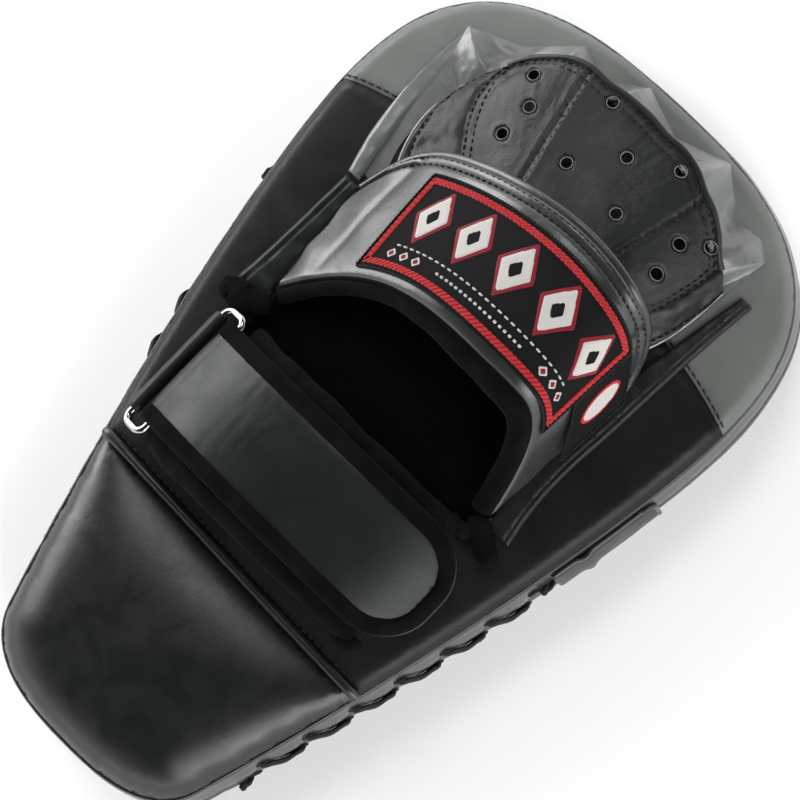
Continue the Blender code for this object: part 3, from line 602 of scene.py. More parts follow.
def back_heights(points):
    depth = distance_to(RIM, points) - SHOULDER_INSET
    rise = BACK_RISE * (1.0 - np.exp(-np.maximum(depth, 0.0) / BACK_FALLOFF))
    beyond = np.maximum(-depth, 0.0)
    share = np.minimum(beyond / (SHOULDER_INSET - PANEL_INSET), 1.0)
    return SHOULDER_Z + rise - SHOULDER_SLOPE * beyond - SHOULDER_DROP * share ** 2


def back_height(x, y):
    return float(back_heights(np.array([[x, y]]))[0])


def top_seam(x):
    return TOP_SEAM_Y - TOP_SEAM_DROP * abs(x / HALF_WIDTH) ** 3


def cushion_seam(x):
    return CUSHION_SEAM_Y + CUSHION_SEAM_SLOPE * x


def clip_loop(loop, line, sign, margin):
    """The part of a loop on one side of a seam, closed by points about 2 mm apart along the seam."""
    def side(p):
        return sign * (p[1] - line(p[0])) - margin

    def crossing(inside, outside):
        share = side(inside) / (side(inside) - side(outside))
        return inside + (outside - inside) * share

    count = len(loop)
    start = next(i for i in range(count) if side(loop[i]) > 0.0 >= side(loop[i - 1]))
    turned = [loop[(start + i) % count] for i in range(count)]
    kept = [p for p in turned if side(p) > 0.0]
    first = crossing(kept[0], turned[-1])
    last = crossing(kept[-1], turned[len(kept)])
    pieces = max(int(abs(first[0] - last[0]) / 2.0), 2)
    xs = [mix(last[0], first[0], i / pieces) for i in range(1, pieces)]
    return [first] + kept + [last] + [np.array([x, line(x) + sign * margin]) for x in xs]


def inside_loop(loop, points):
    """Which points lie inside a closed loop."""
    b = np.roll(loop, -1, axis=0)
    slope = (b[:, 0] - loop[:, 0]) / np.where(b[:, 1] == loop[:, 1], 1e-9, b[:, 1] - loop[:, 1])
    inside = np.zeros(len(points), bool)
    for start in range(0, len(points), BLOCK):
        p = points[start:start + BLOCK]
        above = (loop[None, :, 1] > p[:, None, 1]) != (b[None, :, 1] > p[:, None, 1])
        cross = loop[None, :, 0] + slope[None, :] * (p[:, None, 1] - loop[None, :, 1])
        inside[start:start + BLOCK] = (above & (p[:, None, 0] < cross)).sum(axis=1) % 2 == 1
    return inside


def fill_loop(loop, spacing, holes=()):
    """An even triangle mesh of the inside of a loop, less its holes: flat points and faces."""
    loop = np.array(loop)
    holes = [np.array(h) for h in holes]
    low, high = loop.min(axis=0), loop.max(axis=0)

    def within(places):
        keep = inside_loop(loop, places)
        for hole in holes:
            keep &= ~inside_loop(hole, places)
        return keep
    grid = []
    for i, y in enumerate(np.arange(low[1], high[1], spacing * 0.866)):
        xs = np.arange(low[0] + (i % 2) * spacing / 2.0, high[0], spacing)
        grid.append(np.c_[xs, np.full(len(xs), y)])
    grid = np.concatenate(grid)
    keep = within(grid)
    for border in [loop] + holes:
        keep &= distance_to(border, grid) > spacing * 0.6
    points = [Vector(p) for p in grid[keep]]
    edges = []
    for border in [loop] + holes:
        start = len(points)
        points += [Vector(p) for p in border]
        edges += [(start + i, start + (i + 1) % len(border)) for i in range(len(border))]
    flat, _, faces, _, _, _ = delaunay_2d_cdt(points, edges, [], 0, 1e-6)
    flat = np.array([(p.x, p.y) for p in flat])
    centres = np.array([flat[list(f)].mean(axis=0) for f in faces])
    return flat, [tuple(f) for f, k in zip(faces, within(centres)) if k]


def rolls(loop, points, depth, reach, pucker, pitch=3.4):
    """How far a panel dips at its sewn edge, with puckers a stitch apart."""
    closed = np.array(list(loop) + [loop[0]])
    gap, along = nearest(closed, points)
    dip = -depth * np.maximum(1.0 - gap / reach, 0.0) ** 2
    wave = np.array([noise.noise(Vector((a / 9.0, 0.3, 0.7))) for a in along])
    dip += pucker * np.exp(-gap / 3.5) * np.sin(2.0 * math.pi * along / pitch + 4.0 * wave) * (0.5 + wave)
    return dip


def swells(points, scale, seed=0.0):
    return np.array([noise.noise(Vector((p[0] / scale, p[1] / scale, seed))) for p in points])


def close_below(item):
    """Turns the boundary of an open panel down and closes it underneath."""
    def edit(work):
        made = bmesh.ops.extrude_edge_only(work, edges=[edge for edge in work.edges if edge.is_boundary])
        for vert in [g for g in made["geom"] if isinstance(g, bmesh.types.BMVert)]:
            vert.co.z -= HEM_DROP * MM
        bmesh.ops.holes_fill(work, edges=[edge for edge in work.edges if edge.is_boundary], sides=0)
    edited(item.data, edit)
    shade(item.data)


def relaxed(moved, faces, passes):
    """The shifts of the points, each averaged with those of its neighbours."""
    pairs = np.array(sorted({(a, b) for face in faces for a, b in zip(face, face[1:] + face[:1])}))
    pairs = np.concatenate([pairs, pairs[:, ::-1]])
    count = np.bincount(pairs[:, 0], minlength=len(moved))[:, None]
    for _ in range(passes):
        total = np.zeros_like(moved)
        np.add.at(total, pairs[:, 0], moved[pairs[:, 1]])
        moved = 0.4 * moved + 0.6 * total / count
    return moved


CLOTH_FRAMES = 20
CLOTH = {"quality": 6, "mass": 0.2, "tension_stiffness": 12.0, "compression_stiffness": 12.0,
         "shear_stiffness": 4.0, "bending_stiffness": 0.6, "use_pressure": True, "vertex_group_mass": "held"}


def inflated(points, faces, held, cap, pressure, shrink=0.0, passes=0):
    """Where the points of a cloth form lie once it is blown up, with the held points fixed."""
    points = np.array(points, float)
    scene = bpy.context.scene
    mesh = bpy.data.meshes.new("cloth")
    mesh.from_pydata([tuple(p * MM) for p in points], [], faces)
    item = bpy.data.objects.new("cloth", mesh)
    scene.collection.objects.link(item)
    group = item.vertex_groups.new(name="held")
    group.add([int(i) for i in held], 1.0, "REPLACE")
    cloth = item.modifiers.new("cloth", "CLOTH")
    for key, value in CLOTH.items():
        setattr(cloth.settings, key, value)
    cloth.settings.uniform_pressure_force = pressure
    cloth.settings.shrink_min = shrink
    cloth.settings.effector_weights.gravity = 0.0
    cloth.point_cache.frame_end = CLOTH_FRAMES
    for frame in range(1, CLOTH_FRAMES + 1):
        scene.frame_set(frame)
    result = item.evaluated_get(bpy.context.evaluated_depsgraph_get()).data
    moved = np.array([v.co for v in result.vertices], float) / MM - points
    moved = relaxed(moved, [tuple(face) for face in faces], passes)
    far = np.maximum(np.linalg.norm(moved, axis=1), 1e-6)
    bpy.data.objects.remove(item)
    bpy.data.meshes.remove(mesh)
    scene.frame_set(1)
    return points + moved * (cap * np.tanh(far / cap) / far)[:, None]


def swollen_shell(grid, held_rows, cap, rows, columns, **options):
    """How the upper face of a shell moves when it is blown up, for a finer grid of rows and columns."""
    count, across = len(grid), len(grid[0])
    points = shell_points(grid)
    held = [i * 2 * across + j for i in range(count) for j in range(2 * across)
            if i in held_rows or j >= across - 1 or j == 0]
    swollen = inflated(points, capped_faces(count, 2 * across), held, cap, **options)
    return refined((swollen - np.array(points)).reshape(count, 2 * across, 3)[:, :across], rows, columns)


def smooth_rows(grid):
    for _ in range(3):
        grid[1:-1] = (grid[:-2] + 2.0 * grid[1:-1] + grid[2:]) / 4.0


def refined(grid, rows, columns):
    """A grid of points resampled to more rows and columns, and smoothed."""
    for count in (columns, rows):
        grid = grid.transpose(1, 0, 2)
        spots = np.linspace(0.0, len(grid) - 1.0, count)
        finer = np.empty((count, grid.shape[1], 3))
        for j in range(grid.shape[1]):
            for a in range(3):
                finer[:, j, a] = np.interp(spots, np.arange(len(grid)), grid[:, j, a])
        grid = finer
    for _ in range(2):
        smooth_rows(grid)
        grid = grid.transpose(1, 0, 2).copy()
    return grid


def curve_through(points, step=1.0):
    """A smooth line through points, resampled evenly."""
    points = np.array(points, float)
    padded = np.r_[[2.0 * points[0] - points[1]], points, [2.0 * points[-1] - points[-2]]]
    line = []
    for i in range(1, len(padded) - 2):
        p0, p1, p2, p3 = padded[i - 1:i + 3]
        for t in np.arange(0.0, 1.0, 0.1):
            line.append(0.5 * (2.0 * p1 + (p2 - p0) * t + (2.0 * p0 - 5.0 * p1 + 4.0 * p2 - p3) * t * t
                               + (3.0 * p1 - p0 - 3.0 * p2 + p3) * t ** 3))
    line.append(points[-1])
    return even_line(line, step)


def even_line(line, step):
    line = np.array(line, float)
    steps = steps_along(line)
    spots = np.linspace(0.0, steps[-1], max(int(steps[-1] / step), 2) + 1)
    return np.stack([np.interp(spots, steps, line[:, a]) for a in range(line.shape[1])], axis=1)


# ---------------------------------------------------------------- pad pieces

def rim_loop(inset):
    return RIM + RIM_NORMAL * inset


def build_panel(name, loop, look, replaces, seed):
    flat, faces = fill_loop(loop, 2.6)
    z = back_heights(flat) + (rolls(loop, flat, 1.5, 3.2, 0.16) + 0.35 * swells(flat, 34.0, seed))
    item = add_piece(name, np.c_[flat, z], faces, look, replaces=replaces, closed=False)
    close_below(item)


def cushion_heights(flat):
    depth = np.maximum(distance_to(RIM, flat) - PANEL_INSET, 0.0)
    seam = np.array([cushion_seam(x) for x in flat[:, 0]]) - PIPING_RADIUS - flat[:, 1]
    from_rim = 1.0 - np.exp(-depth / CUSHION_FALLOFF)
    from_seam = 1.0 - np.exp(-np.maximum(seam, 0.0) / CUSHION_SEAM_FALLOFF)
    return back_heights(flat) + (CUSHION_RISE - 1.0) * (from_rim * from_seam)


def build_cushion(loop):
    """The stuffed cushion at the wrist end, blown up as cloth from a slightly smaller shape."""
    flat, faces = fill_loop(loop, 4.0)
    held = np.nonzero(distance_to(np.array(loop), flat) < 0.3)[0]
    points = inflated(np.c_[flat, cushion_heights(flat)], faces, held, 2.5, pressure=5.0, shrink=0.01,
                      passes=60)
    item = add_piece("stuffed_cushion", points, faces, "cushion", replaces=("cushion_cover", "cushion_foam"),
                     closed=False)
    finer = item.modifiers.new("finer", "SUBSURF")
    finer.levels = finer.render_levels = 1
    finer.boundary_smooth = "PRESERVE_CORNERS"
    result = bpy.data.meshes.new_from_object(item.evaluated_get(bpy.context.evaluated_depsgraph_get()))
    item.modifiers.clear()
    item.data = result
    flat = np.array([(v.co.x / MM, v.co.y / MM) for v in result.vertices])
    lift = rolls(loop, flat, 1.2, 3.5, 0.22, pitch=4.2) + 0.25 * swells(flat, 45.0, 3.0)
    for vert, rise in zip(result.vertices, lift):
        vert.co.z += rise * MM
    close_below(item)


def back_line(xs, seam, off, lift):
    """Places along a seam of the back, moved off it and lifted."""
    return [(x, seam(x) + off, back_height(x, seam(x) + off) + lift) for x in xs]


def build_back():
    rim = rim_loop(PANEL_INSET)
    build_panel("top_leather", clip_loop(rim, top_seam, 1.0, 0.05), "top", ("top_panel",), 1.0)
    middle = clip_loop(clip_loop(rim, top_seam, -1.0, 0.05), cushion_seam, 1.0, PIPING_RADIUS - 0.6)
    build_panel("middle_leather", middle, "middle", ("middle_panel", "core_foam"), 2.0)
    build_cushion(clip_loop(rim, cushion_seam, -1.0, PIPING_RADIUS - 0.4))
    half = half_width(CUSHION_SEAM_Y) - PANEL_INSET - 1.6
    cord = back_line(spread(-half, half, 150), cushion_seam, 0.0, 0.7)
    tube("cushion_cord", cord, PIPING_RADIUS, "cushion", wobble=0.12, replaces=("cushion_piping",))
    reach = half_width(TOP_SEAM_Y - 12.0) - PANEL_INSET - 0.8
    lines = (back_line(spread(-half + 2.0, half - 2.0, 60), cushion_seam, PIPING_RADIUS + 1.1, -0.25),
             back_line(spread(-reach, reach, 90), top_seam, 1.5, -0.2))
    stitches("back_stitches", [[(spot, UP) for spot in line] for line in lines], pitch=3.6, length=2.9,
             radius=0.36)


def pull_at(side, y, rear):
    """How strongly the lacing draws the hem of the slit at this place."""
    pull = 0.0
    for _, lace_side, first, turns, _ in LACINGS:
        if side == lace_side:
            for place, z in eyelets(first, turns):
                if (z == LACE_REAR_Z) == rear:
                    pull = max(pull, math.exp(-((y - place) / 4.0) ** 2))
    return pull


def gusset_slack(x, y, z, side):
    """Small bulges of the sides between the laces, and soft ripples elsewhere."""
    for _, lace_side, first, turns, _ in LACINGS:
        span = turns * (LACE_OVER + LACE_BEHIND)
        if side == lace_side and first - span < y < first + 6.0:
            phase = (first - y) / (LACE_OVER + LACE_BEHIND)
            return -0.7 * abs(math.sin(math.pi * phase)) ** 0.8 + 0.3 * ripple((x, y, z), 9.0)
    return 0.5 * ripple((x, y, z), 24.0)


def build_round(name, profile, place, look, node):
    """A band all round the pad: place gives the point for a place on the rim and a stop of the profile."""
    points = [place(i, *stop) for i in range(len(RIM)) for stop in profile]
    faces = grid_faces(len(RIM), len(profile), wrap_rows=True, wrap_columns=True)
    add_piece(name, points, faces, look, replaces=(node,))


def build_gusset(name, profile, rear, node):
    """A side wall. A stop is its inset, its height and 1 where it is a hem."""
    def place(i, inset, z, hem):
        x, y = RIM[i]
        side = 1.0 if x > 0.0 else -1.0
        pull = pull_at(side, y, rear) if abs(x) > 30.0 else 0.0
        near = 1.0 - min(abs(z - 22.5) / 16.0, 1.0)
        into = inset + gusset_slack(x, y, z, side) * (0.3 + near) * (1.0 - 0.7 * hem)
        into += pull * 1.2 * near
        spot = RIM[i] + RIM_NORMAL[i] * into
        return spot[0], spot[1], z + (-1.3 if rear else 1.3) * pull * near ** 2
    build_round(name, profile, place, "side", node)


def build_sides():
    rear = [(3.0, 39.2, 1), (1.9, 39.9, 1), (1.3, 39.3, 0), (1.15, 38.2, 0), (0.95, 36.5, 0), (0.6, 34.0, 0),
            (0.2, 31.5, 0), (-0.1, 29.2, 0), (-0.1, 27.4, 0), (0.1, 26.2, 0), (-0.1, 25.3, 0.3),
            (0.3, 24.6, 0.6), (1.1, 24.4, 1), (1.9, 25.0, 1), (2.2, 27.0, 1), (2.6, 35.0, 1)]
    build_gusset("rear_side_leather", rear, True, "rear_gusset")
    front = [(2.2, 9.0, 1), (1.5, 8.7, 0), (0.9, 9.4, 0), (0.5, 11.0, 0), (0.1, 13.5, 0), (-0.2, 16.0, 0),
             (-0.1, 18.2, 0), (0.1, 19.1, 0), (-0.1, 19.8, 0.3), (0.3, 20.6, 0.6), (1.1, 20.8, 1),
             (1.9, 20.2, 1), (2.2, 18.0, 1), (2.6, 12.0, 1)]
    build_gusset("front_side_leather", front, False, "front_gusset")
    tongue = [(5.8, 11.0), (5.8, 18.0), (5.3, 22.5), (5.8, 28.0), (5.8, 35.0), (7.2, 35.0), (7.2, 11.0)]
    build_round("slit_cloth", tongue, lambda i, inset, z: (*(RIM[i] + RIM_NORMAL[i] * inset), z), "lining",
                "slit_tongue")


def build_strike_face():
    """The striking side: one leather panel, rounded at its edge and flat where it is struck."""
    profile = [(5.0, 8.1), (2.6, 8.5), (1.7, 8.3), (1.5, 7.2), (1.8, 5.2), (2.7, 3.2), (4.2, 1.5), (6.2, 0.5),
               (8.6, 0.08), (11.0, 0.0)]
    points = [(x, y, z + (0.25 * ripple((x, y, z), 20.0) if 1.0 < z < 8.0 else 0.0))
              for inset, z in profile for x, y in rim_loop(inset)]
    faces = grid_faces(len(profile), len(RIM), wrap_columns=True)
    flat, inside = fill_loop(rim_loop(profile[-1][0]), 5.0)
    faces += [tuple(i + len(points) for i in f) for f in inside]
    faces.append(tuple(range(len(RIM))))
    rise = np.maximum(0.25 * swells(flat, 26.0, 8.0), 0.0)
    points += [(p[0], p[1], r) for p, r in zip(flat, rise)]
    item = add_piece("strike_leather", points, faces, "side", replaces=("strike_cover", "strike_foam"))
    edited(item.data, lambda work: bmesh.ops.remove_doubles(work, verts=work.verts, dist=0.02 * MM))
    shade(item.data)


def gusset_point(side, y, z, inset):
    slope = (half_width(y + 1.0) - half_width(y - 1.0)) / 2.0
    square = Vector((-1.0, slope)).normalized()
    depth = inset + max(z - SLIT_HIGH, 0.0) * GUSSET_LEAN
    point = Vector((half_width(y), y)) + square * depth
    return Vector((side * point.x, point.y, z))


def gusset_out(side, y, z):
    return gusset_point(side, y, z, -1.0) - gusset_point(side, y, z, 0.0)


def eyelets(first, turns):
    """Eyelet places along Y and up Z, rear and front by turns."""
    places = []
    y = first
    for i in range(2 * turns):
        places.append((y, LACE_REAR_Z if i % 2 == 0 else LACE_FRONT_Z))
        y -= LACE_BEHIND if i % 2 == 0 else LACE_OVER
    return places


def lace_route(side, places, loose):
    """In through an eyelet, a short way behind the slit, out, and over it in a long diagonal."""
    route = []
    for i, (y, z) in enumerate(places):
        inwards = i % 2 == 0
        stops = [(y, z, -0.7), (y, z, LACE_DEPTH)]
        route += stops if inwards else stops[::-1]
        if i + 1 < len(places):
            next_y, next_z = places[i + 1]
            proud = LOOSE if i in loose else 1.0
            for share, out in ((0.2, 1.35), (0.5, 2.1), (0.8, 1.35)):
                depth = LACE_DEPTH + 0.2 if inwards else -out * proud
                route.append((mix(y, next_y, share), mix(z, next_z, share), depth))
    return curve_through([gusset_point(side, *stop) for stop in route], 1.2)


def build_lacing():
    """Flat woven laces over the slit, tied off beside their last eyelets, with an eyelet at each turn."""
    hoops = []
    ribbon = oval(LACE_WIDTH / 2.0, LACE_THICKNESS / 2.0, 10)
    for word, side, first, turns, loose in LACINGS:
        places = eyelets(first, turns)
        line = lace_route(side, places, loose)
        normals = [gusset_out(side, y, z) + Vector((0.0, 0.0, 0.02)) for _, y, z in line]
        swept(f"woven_lace_{word}", line, lambda i, share: ribbon, "lace", up=normals,
              replaces=(f"lace_{word}",))
        for y, z in places:
            out = gusset_out(side, y, z).normalized()
            along = (Vector((0.0, 1.0, 0.0)) - out * out.y).normalized()
            spokes = [along * a + out.cross(along) * b for a, b in oval(1.0, 1.0, 18)]
            centre = gusset_point(side, y, z, -0.1) + out * 0.25
            hoops.append([(centre + spoke * 2.5, spoke, out) for spoke in spokes])
        for end, (y, z), shift in (("upper", places[0], 5.0), ("lower", places[-1], -5.0)):
            build_knot(f"tied_knot_{word}_{end}", gusset_point(side, y + shift, z, -1.6),
                       f"lace_knot_{word}_{end}")
    add_rims("eyelet_rims", hoops, 0.4, 0.25, "thread")


def build_knot(name, centre, node):
    """A small overhand knot of the same lace."""
    line = []
    for t in np.linspace(0.0, 2.0 * math.pi, 61)[:-1]:
        radius = 1.15 + 0.55 * math.cos(3.0 * t)
        line.append(centre + Vector((0.7 * math.sin(3.0 * t), 1.9 * radius * math.cos(2.0 * t),
                                     radius * math.sin(2.0 * t))))
    tube(name, line, 0.85, "lace", cyclic=True, sides=8, up=(1.0, 0.0, 0.0), replaces=(node,))


def build_gusset_flap():
    """A bound leather flap that covers the top of the right lacing."""
    rows, columns = 40, 16
    grid = []
    for share in spread(0.0, 1.0, rows):
        y = mix(6.0, 53.0, share)
        corner = 1.0 - max(0.0, (share - 0.86) / 0.14) ** 2 * 0.35
        row = []
        for across in spread(0.0, 1.0, columns):
            z = mix(11.5, mix(23.5, 37.0, corner), across)
            edge = min(share * 60.0, (1.0 - share) * 60.0, across * 25.0, (1.0 - across) * 25.0)
            lift = 1.9 - 1.0 * math.exp(-edge / 1.2) + 0.12 * ripple((y, z, 0.0), 9.0)
            lift += 1.3 * math.exp(-((y - 20.5) / 2.4) ** 2)
            row.append(gusset_point(1.0, y, z, -lift))
        grid.append(row)
    points = [p for row in grid for p in row]
    points += [p - Vector((1.3, 0.0, 0.0)) for p in points]
    count = rows * columns
    faces = grid_faces(rows, columns)
    faces += [tuple(i + count for i in f[::-1]) for f in faces]
    ring = ([i * columns for i in range(rows)] + [(rows - 1) * columns + j for j in range(1, columns)]
            + [i * columns + columns - 1 for i in range(rows - 2, -1, -1)] + list(range(columns - 2, 0, -1)))
    faces += [(a, b, b + count, a + count) for a, b in zip(ring, ring[1:] + ring[:1])]
    add_piece("slit_flap", points, faces, "cover", replaces=("gusset_flap",))
    edge = grid[-1] + [row[-1] for row in grid[-2:0:-1]]
    tube("slit_flap_binding", curve_through(edge, 1.5), 1.0, "side", sides=8)


# ---------------------------------------------------------------- glove

def station(v):
    shape = [mix(a, b, v) for a, b in zip(BAND_REAR, BAND_FRONT)]
    shape[3] += BAND_BULGE * math.sin(math.pi * v)
    return shape


def finger_station(v):
    shape = [mix(a, b, v) for a, b in zip(FINGER_REAR, FINGER_TIP)]
    shape[0] -= FINGER_BULGE[0] * math.sin(math.pi * v)
    shape[1] += FINGER_BULGE[1] * math.sin(math.pi * v)
    return shape


def arch(shape, angle, depth):
    left, right, crown_x, crown_z, left_power, right_power = shape
    reach = abs(math.sin(angle))
    base = (left + depth if angle < 0.0 else right - depth) - crown_x
    power = left_power if angle < 0.0 else right_power
    top = crown_z - depth - GLOVE_BASE_Z
    return crown_x + base * reach, GLOVE_BASE_Z + top * (1.0 - reach ** power)


def rear_y(angle):
    reach = abs(math.sin(angle))
    return 46.0 - (34.0 * reach ** 3.2 if angle < 0.0 else 40.0 * reach ** 10.0)


def front_y(angle):
    reach = abs(math.sin(angle))
    if angle < 0.0:
        return 107.0 - 20.0 * reach ** 1.8 - 24.0 * reach ** 12.0
    return 107.0 - 10.0 * reach ** 2.0 - 20.0 * reach ** 16.0


def tip_y(angle):
    reach = abs(math.sin(angle))
    return 156.8 - (35.0 * reach ** 5.1 if angle < 0.0 else 29.0 * reach ** 2.4)


def band_point(angle, v, depth=0.0):
    x, z = arch(station(v), angle, depth)
    return np.array((x, mix(rear_y(angle), front_y(angle), v), z))


def finger_point(angle, v, depth=0.0):
    x, z = arch(finger_station(v), angle, depth)
    return np.array((x, mix(front_y(angle) - COVER_TUCK, tip_y(angle), v), z))


def outward(point, angle, v):
    """The outward normal of the band or the fingers at a place."""
    step = 0.01
    side = point(angle + step, v) - point(angle - step, v)
    ahead = point(angle, v + step) - point(angle, v - step)
    normal = np.cross(side, ahead)
    return normal / max(np.linalg.norm(normal), 1e-9)


def raised(point, angle, v, lift):
    return point(angle, v) + outward(point, angle, v) * lift


def degree_range(first, last, count):
    return [math.radians(a) for a in spread(first, last, count)]


def band_length(angle):
    return front_y(angle) - rear_y(angle)


BAND_SEAM = 5.2


def band_lift(angle, v):
    """The seam's groove, the rolled edges, soft ripples and a crease over each side of the hand."""
    length = band_length(angle)
    front = (1.0 - v) * length
    lift = -0.9 * math.exp(-((front - BAND_SEAM) / 0.9) ** 2)
    lift += 0.5 * math.exp(-((front - BAND_SEAM + 2.4) / 1.8) ** 2)
    lift -= 1.6 * math.exp(-front / 1.2) + 1.3 * math.exp(-v * length / 1.2)
    place = band_point(angle, v)
    beside = smooth_step((abs(place[0] - 6.0) - 46.0) / 22.0)
    lift += (0.3 + 0.7 * beside) * ripple(place, 13.0, 2.0) * math.exp(-3.0 * max(0.0, 1.0 - front / 6.0))
    crease = abs(math.degrees(angle)) - 62.0 + 5.0 * v
    return lift - 0.8 * math.exp(-(crease / 2.2) ** 2) * smooth_step(v * 3.0) * (0.6 if angle < 0 else 1.0)


def build_band():
    """The padded hand band, blown up as cloth over its foam, then seamed and piped."""
    form = [[(band_point(a, v, 0.6), band_point(a, v, BAND_THICKNESS)) for a in degree_range(-90.0, 90.0, 45)]
            for v in spread(0.0, 1.0, 11)]
    rows, columns = 46, 150
    moved = swollen_shell(form, (0, 10), 3.2, rows, columns, pressure=6.0, passes=2)
    turns = list(enumerate(degree_range(-90.0, 90.0, columns)))
    grid = [[(band_point(a, v) + moved[i, j] + outward(band_point, a, v) * band_lift(a, v),
              band_point(a, v, BAND_THICKNESS - 0.2)) for j, a in turns]
            for i, v in enumerate(spread(0.0, 1.0, rows))]
    item = add_shell("padded_band", grid, "band", replaces=("hand_band",))
    turns = degree_range(-88.0, 88.0, 90)
    edge = curve_through([band_point(a, 1.0, 1.9) for a in turns], 1.6)
    tube("band_front_piping", edge, 1.9, "band", wobble=0.1, sides=10)
    edge = curve_through([band_point(a, 0.0, 1.6) for a in turns], 1.6)
    tube("band_rear_piping", edge, 1.1, "velour", sides=8)
    lines = []
    for reach, lift in ((BAND_SEAM, -0.55), (2.5, 0.15)):
        line = []
        for angle in degree_range(-84.0, 82.0, 120):
            v = 1.0 - reach / band_length(angle)
            normal = outward(band_point, angle, v)
            k = int(round((math.degrees(angle) + 90.0) / 180.0 * (columns - 1)))
            line.append((band_point(angle, v) + moved[int(round(v * (rows - 1))), k] + normal * lift, normal))
        lines.append(line)
    stitches("band_stitches", lines, pitch=3.2, length=2.4, radius=0.34)
    return moved


def rim_fullness(spot_x):
    """The binding is slimmer on the left and over the top than on the right."""
    return mix(0.68, 1.0, smooth_step((spot_x + 20.0) / 70.0))


def build_rim():
    """The rolled velour binding of the hand opening."""
    line = []
    step = math.radians(1.0)
    for angle in degree_range(-86.0, 84.0, 60):
        edge = Vector(band_point(angle, 0.0, BAND_THICKNESS / 2.0))
        along = Vector(band_point(angle + step, 0.0)) - Vector(band_point(angle - step, 0.0))
        across = Vector(band_point(angle, 0.1)) - Vector(band_point(angle, 0.0))
        out = along.cross(along.cross(across)).normalized()
        full = rim_fullness(spot_x=edge.x)
        spot = edge + out * (RIM_RADIUS * full + 0.4)
        spot.z = max(spot.z, GLOVE_BASE_Z + RIM_RADIUS * full)
        line.append(spot)
    line = curve_through(line, 1.2)

    def section(i, share):
        swell = rim_fullness(line[i][0]) + 0.08 * ripple(line[i], 6.0, 5.0) + 0.03 * ripple(line[i], 2.5, 1.0)
        return [(a * swell * (1.0 + 0.06 * ripple(line[i] + np.array((a, b, 0)), 2.2)), b * swell)
                for a, b in oval(RIM_RADIUS + 0.6, RIM_RADIUS + 0.9, 20)]
    item = swept("velour_rim", line, section, "velour", replaces=("opening_rim",))


def build_linings():
    grid = [[(band_point(a, v, 6.2), band_point(a, v, 7.4)) for a in degree_range(-80.0, 80.0, 60)]
            for v in spread(0.0, 0.98, 12)]
    add_shell("velour_lining", grid, "lining", replaces=("band_lining",))
    # The black floor runs on past the glove's rear edge to the cuff; there it is partly real velour and
    # partly painted shade.
    grid = []
    for y in spread(-8.0, 113.0, 50):
        wide = 59.0 if y < 40.0 else 52.0
        heights = [(x, back_height(x, y) + 1.1 + 0.3 * ripple((x, y, 0.0), 8.0))
                   for x in spread(-wide, wide, 40)]
        grid.append([((x, y, z), (x, y, z - 1.4)) for x, z in heights])
    add_shell("velour_floor_and_painted_shade", grid, "lining", replaces=("glove_base_lining",))


class Patch:
    """A flat label's place on the band: across 0 to width in mm, and up 0 to height, from the rear edge."""

    def __init__(self, first, last, low, high, moved, flare=0.0):
        self.turns = np.array(degree_range(first, last, 80))
        self.steps = steps_along(np.array([band_point(a, (low + high) / 2.0) for a in self.turns]))
        self.width = self.steps[-1]
        self.height = band_length((self.turns[0] + self.turns[-1]) / 2.0) * (high - low)
        self.low, self.high, self.moved, self.flare = low, high, moved, flare

    def where(self, across, up):
        return float(np.interp(across, self.steps, self.turns)), mix(self.low, self.high, up / self.height)

    def spot(self, across, up, lift):
        angle, v = self.where(across, up)
        rows, columns = self.moved.shape[:2]
        i = min(max(v, 0.0), 1.0) * (rows - 1)
        j = (angle / math.pi + 0.5) * (columns - 1)
        a, b = int(i), int(j)
        near, far = (mix(self.moved[k, b], self.moved[k, min(b + 1, columns - 1)], j - b)
                     for k in (a, min(a + 1, rows - 1)))
        lift += self.flare * (across / self.width) ** 2
        return raised(band_point, angle, v, lift) + mix(near, far, i - a)

    def sheet(self, name, loop, look, base, rise, spacing=1.6, replaces=()):
        """A sewn shape on the patch: domed at its edge, from base to base + rise above the band."""
        loop = even_loop(loop, spacing * 0.6)
        flat, faces = fill_loop(loop, spacing)
        lifts = base + rise * np.minimum(distance_to(loop, flat) / 0.5, 1.0) ** 0.5
        points = [self.spot(p[0], p[1], h) for p, h in zip(flat, lifts)]
        add_piece(name, points, faces, look, replaces=replaces, closed=False)

    def threads(self, name, lines, look, lift, pitch, length, radius):
        rows = [[(self.spot(*place, lift), outward(band_point, *self.where(*place)))
                 for place in even_line(line, 1.0)]
                for line in lines]
        stitches(name, rows, look, pitch, length, radius)


def even_loop(loop, step):
    """A closed line resampled evenly between its corners, which it keeps."""
    loop = np.array(loop, float)
    result = []
    for a, b in zip(loop, np.roll(loop, -1, axis=0)):
        pieces = max(int(round(np.linalg.norm(b - a) / step)), 1)
        result += [mix(a, b, k / pieces) for k in range(pieces)]
    return np.array(result)


def box_loop(width, height, inset=0.0):
    return [(inset, inset), (width - inset, inset), (width - inset, height - inset), (inset, height - inset)]


def box_line(width, height, inset):
    return box_loop(width, height, inset) + [(inset, inset)]


def lozenge(x, y, wide, tall):
    return [(x + wide, y), (x, y + tall), (x - wide, y), (x, y - tall)]


LOZENGES = 5
LOZENGE_WIDE = 7.6
LOZENGE_TALL = 11.5


